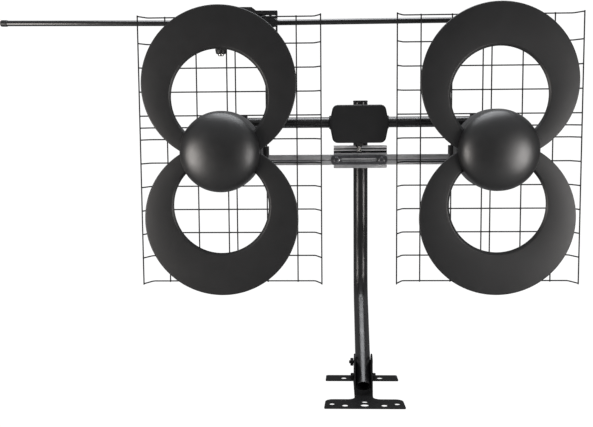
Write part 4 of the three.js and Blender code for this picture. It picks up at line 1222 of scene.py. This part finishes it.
def foot():
    """One pressed plate: two arms with fixing holes, a web, and two ears bent up beside the mast."""
    node = "foot_plate"
    low, high = box(node)
    pivot = middle("pivot_bolt")
    holes = [stadium(sign * 57.5, -76, 4.4, 6.4) for sign in (-1, 1)]
    holes += [stadium(sign * 34.5, -84.3, 5, 7.3) for sign in (-1, 1)]
    holes += [stadium(0, -83, 7.3, 8), stadium(0.6, -64.5, 5.3, 6)]
    holes += [stadium(sign * 34.6, 86.5, 5, 7) for sign in (-1, 1)]
    ear_holes = [circle(pivot.y, pivot.z, 3.7), arc_slot(pivot)]
    mesh = bmesh.new()
    slab(mesh, "XY", foot_outline((high.x - low.x) / 2, low.y, high.y), 0, PLATE, 0.6, holes)
    for sign in (-1, 1):
        start, end = sorted((sign * EAR_INNER, sign * (EAR_INNER + PLATE)))
        slab(mesh, "YZ", ear_outline(pivot), start, end, 0.6, ear_holes)
        fold(mesh, sign, pivot)
    finish(mesh, "foot_pressing", "foot_paint", node, 30)


def fold(mesh, sign, pivot):
    """The rounded inside corner where an ear is bent up from the web."""
    corner = sign * EAR_INNER
    section = [(corner + sign * 0.4, PLATE - 0.4), (corner + sign * 0.4, PLATE + FOLD_RADIUS)]
    for k in range(1, 7):
        angle = quarter(k, 6)
        across = corner - sign * FOLD_RADIUS * (1 - math.cos(angle))
        section.append((across, PLATE + FOLD_RADIUS * (1 - math.sin(angle))))
    section.append((corner - sign * FOLD_RADIUS, PLATE - 0.4))
    ends = (pivot.y - EAR_BACK + 1, pivot.y + EAR_RADIUS - 0.8)
    skin(mesh, [[mesh.verts.new((x, y, z)) for x, z in section] for y in ends])


def foot_bolt(bolt, low_head):
    """A bolt along X with its head on the right, hexagonal or low and round, and its nut on the left."""
    low, high = box(bolt)
    centre = Vector((0, middle(bolt).y, middle(bolt).z))
    radius = (high.z - low.z) / 2
    seat = EAR_INNER + PLATE + 0.3
    mesh = bmesh.new()
    if low_head:
        profile = [(0, seat), (radius, seat)]
        for k in range(10):
            angle = quarter(k, 10)
            profile.append((radius * math.cos(angle), seat + 0.3 + (high.x - seat - 0.3) * math.sin(angle)))
        lathe(mesh, profile + [(0, high.x)], centre, X, 48)
    else:
        hexagon(mesh, centre, X, radius, seat, high.x)
    thread(mesh, centre, X, 3.1, seat + 0.1, low.x, 1.25, 0.3)
    finish(mesh, bolt + "_detail", "foot_paint", bolt, 30)
    nut(bolt.replace("bolt", "nut"), centre, X, "foot_paint", 0.4)


# ---------- inside parts kept from the CAD


def carried_over():
    """CAD nodes whose shape stays: the boards and the leads inside the housings."""
    finishes = {"circuit_board": "board", "cable_jacket": "cable"}
    for node, thing in frame["nodes"].items():
        if SLOT_OF[node] in finishes:
            thing.data.materials.clear()
            thing.data.materials.append(MATERIALS[finishes[SLOT_OF[node]]])


# ---------- stage

PAPER_WHITE = 1.05


def floor():
    """Plain paper: pure white to the camera, and dim to everything that reflects it."""
    data = bpy.data.meshes.new("floor")
    half = 30.0
    corners = [(x * half, y * half, CAD_LOW.z) for x, y in ((-1, -1), (1, -1), (1, 1), (-1, 1))]
    data.from_pydata(corners, [], [(0, 1, 2, 3)])
    nodes = Nodes("floor_paper")
    fill(nodes.shader, {"Base Color": (0.3, 0.3, 0.3, 1), "Roughness": 0.9})
    white = nodes.node("Emission")
    white.inputs["Strength"].default_value = PAPER_WHITE
    split_by_camera(nodes.tree, nodes.shader, white, nodes.tree.nodes["Material Output"])
    data.materials.append(nodes.material)
    placed("floor", data)


def world():
    """White to the camera. What the surfaces reflect is dim near the horizon and brighter overhead."""
    made = bpy.data.worlds.new("studio")
    made.use_nodes = True
    made.node_tree.nodes.clear()
    node, link = made.node_tree.nodes.new, made.node_tree.links.new
    out = node("ShaderNodeOutputWorld")
    seen = node("ShaderNodeBackground")
    fill(seen, {"Strength": PAPER_WHITE, "Color": (1, 1, 1, 1)})
    lit = node("ShaderNodeBackground")
    fill(lit, {"Color": (0.97, 0.98, 1, 1)})
    place = node("ShaderNodeTexCoord")
    parts = node("ShaderNodeSeparateXYZ")
    rise = node("ShaderNodeMapRange")
    fill(rise, {"From Min": 0.1, "From Max": 0.9, "To Min": 0.2, "To Max": 0.6})
    link(place.outputs["Generated"], parts.inputs[0])
    link(parts.outputs["Z"], rise.inputs["Value"])
    link(rise.outputs["Result"], lit.inputs["Strength"])
    split_by_camera(made.node_tree, lit, seen, out)
    bpy.context.scene.world = made


def softbox(name, place, target, width, height, power, colour):
    """A round-edged area light, hidden from the camera, that points at a target."""
    data = bpy.data.lights.new(name, "AREA")
    data.shape = "ELLIPSE"
    data.size, data.size_y = width, height
    data.energy = power
    data.color = colour
    lamp = placed(name, data)
    lamp.location = place
    lamp.rotation_euler = (Vector(target) - Vector(place)).to_track_quat("-Z", "Y").to_euler()
    lamp.visible_camera = False


def lights():
    """A warm key low on each side for the domes, and a cool one overhead."""
    left, right = middle("hub_dome_left") * MM, middle("hub_dome_right") * MM
    centre = (left + right) / 2
    softbox("key_left", left + Vector((-0.72, -0.5, -0.16)), left, 0.56, 0.7, 10, (1, 0.95, 0.91))
    softbox("key_right", right + Vector((0.62, -0.6, -0.16)), right, 0.5, 0.68, 9.5, (1, 0.97, 0.95))
    softbox("top", centre + Vector((0, 0.2, 1.25)), centre, 1.5, 0.9, 24, (0.95, 0.97, 1))


def camera():
    """A camera in front and a little above, turned slightly and looking down."""
    place = (-0.0549, -1.6760, 0.5113)
    yaw, pitch, roll = 0.0393, -0.106, 0.008
    data = bpy.data.cameras.new("camera")
    data.sensor_width = 36
    data.lens = 56.35
    data.clip_start, data.clip_end = 0.05, 100
    eye = placed("camera", data)
    turn = Matrix.Rotation(yaw, 3, "Z") @ Matrix.Rotation(pitch, 3, "X") @ Matrix.Rotation(roll, 3, "Y")
    right, forward, up = turn.col[0], turn.col[1], turn.col[2]
    facing = Matrix((right, up, -forward)).transposed()
    eye.matrix_world = Matrix.Translation(place) @ facing.to_4x4()
    bpy.context.scene.camera = eye
    bpy.context.scene.view_settings.view_transform = "Standard"


# ---------- build

for word in ("left", "right"):
    screen(word)
    loop(word, 1)
    loop(word, -1)
    dome(word)
    housing(word)
    bracket(word)
    bar_bolt(word)
    clamp_bolt(word)
    for end in ("outer", "inner"):
        pan_screw(f"hub_screw_{word}_{end}", 1.6, 2.7)
        pan_screw(f"bracket_screw_{word}_{end}", 2.0, 3.1)
    for level in ("lower", "upper"):
        pan_screw(f"box_screw_{level}_{word}", 1.6, 2.1)
    boom(word)
rod("left")
rod("right")
support_bar()
box_shell(True)
box_shell(False)
coax_port()
clamp_strap()
clamp_channel()
clamp_jaw()
dipole_parts()
mast()
mast_cap()
foot()
foot_bolt("pivot_bolt", False)
foot_bolt("lock_bolt", True)
carried_over()
floor()
world()
lights()
camera()
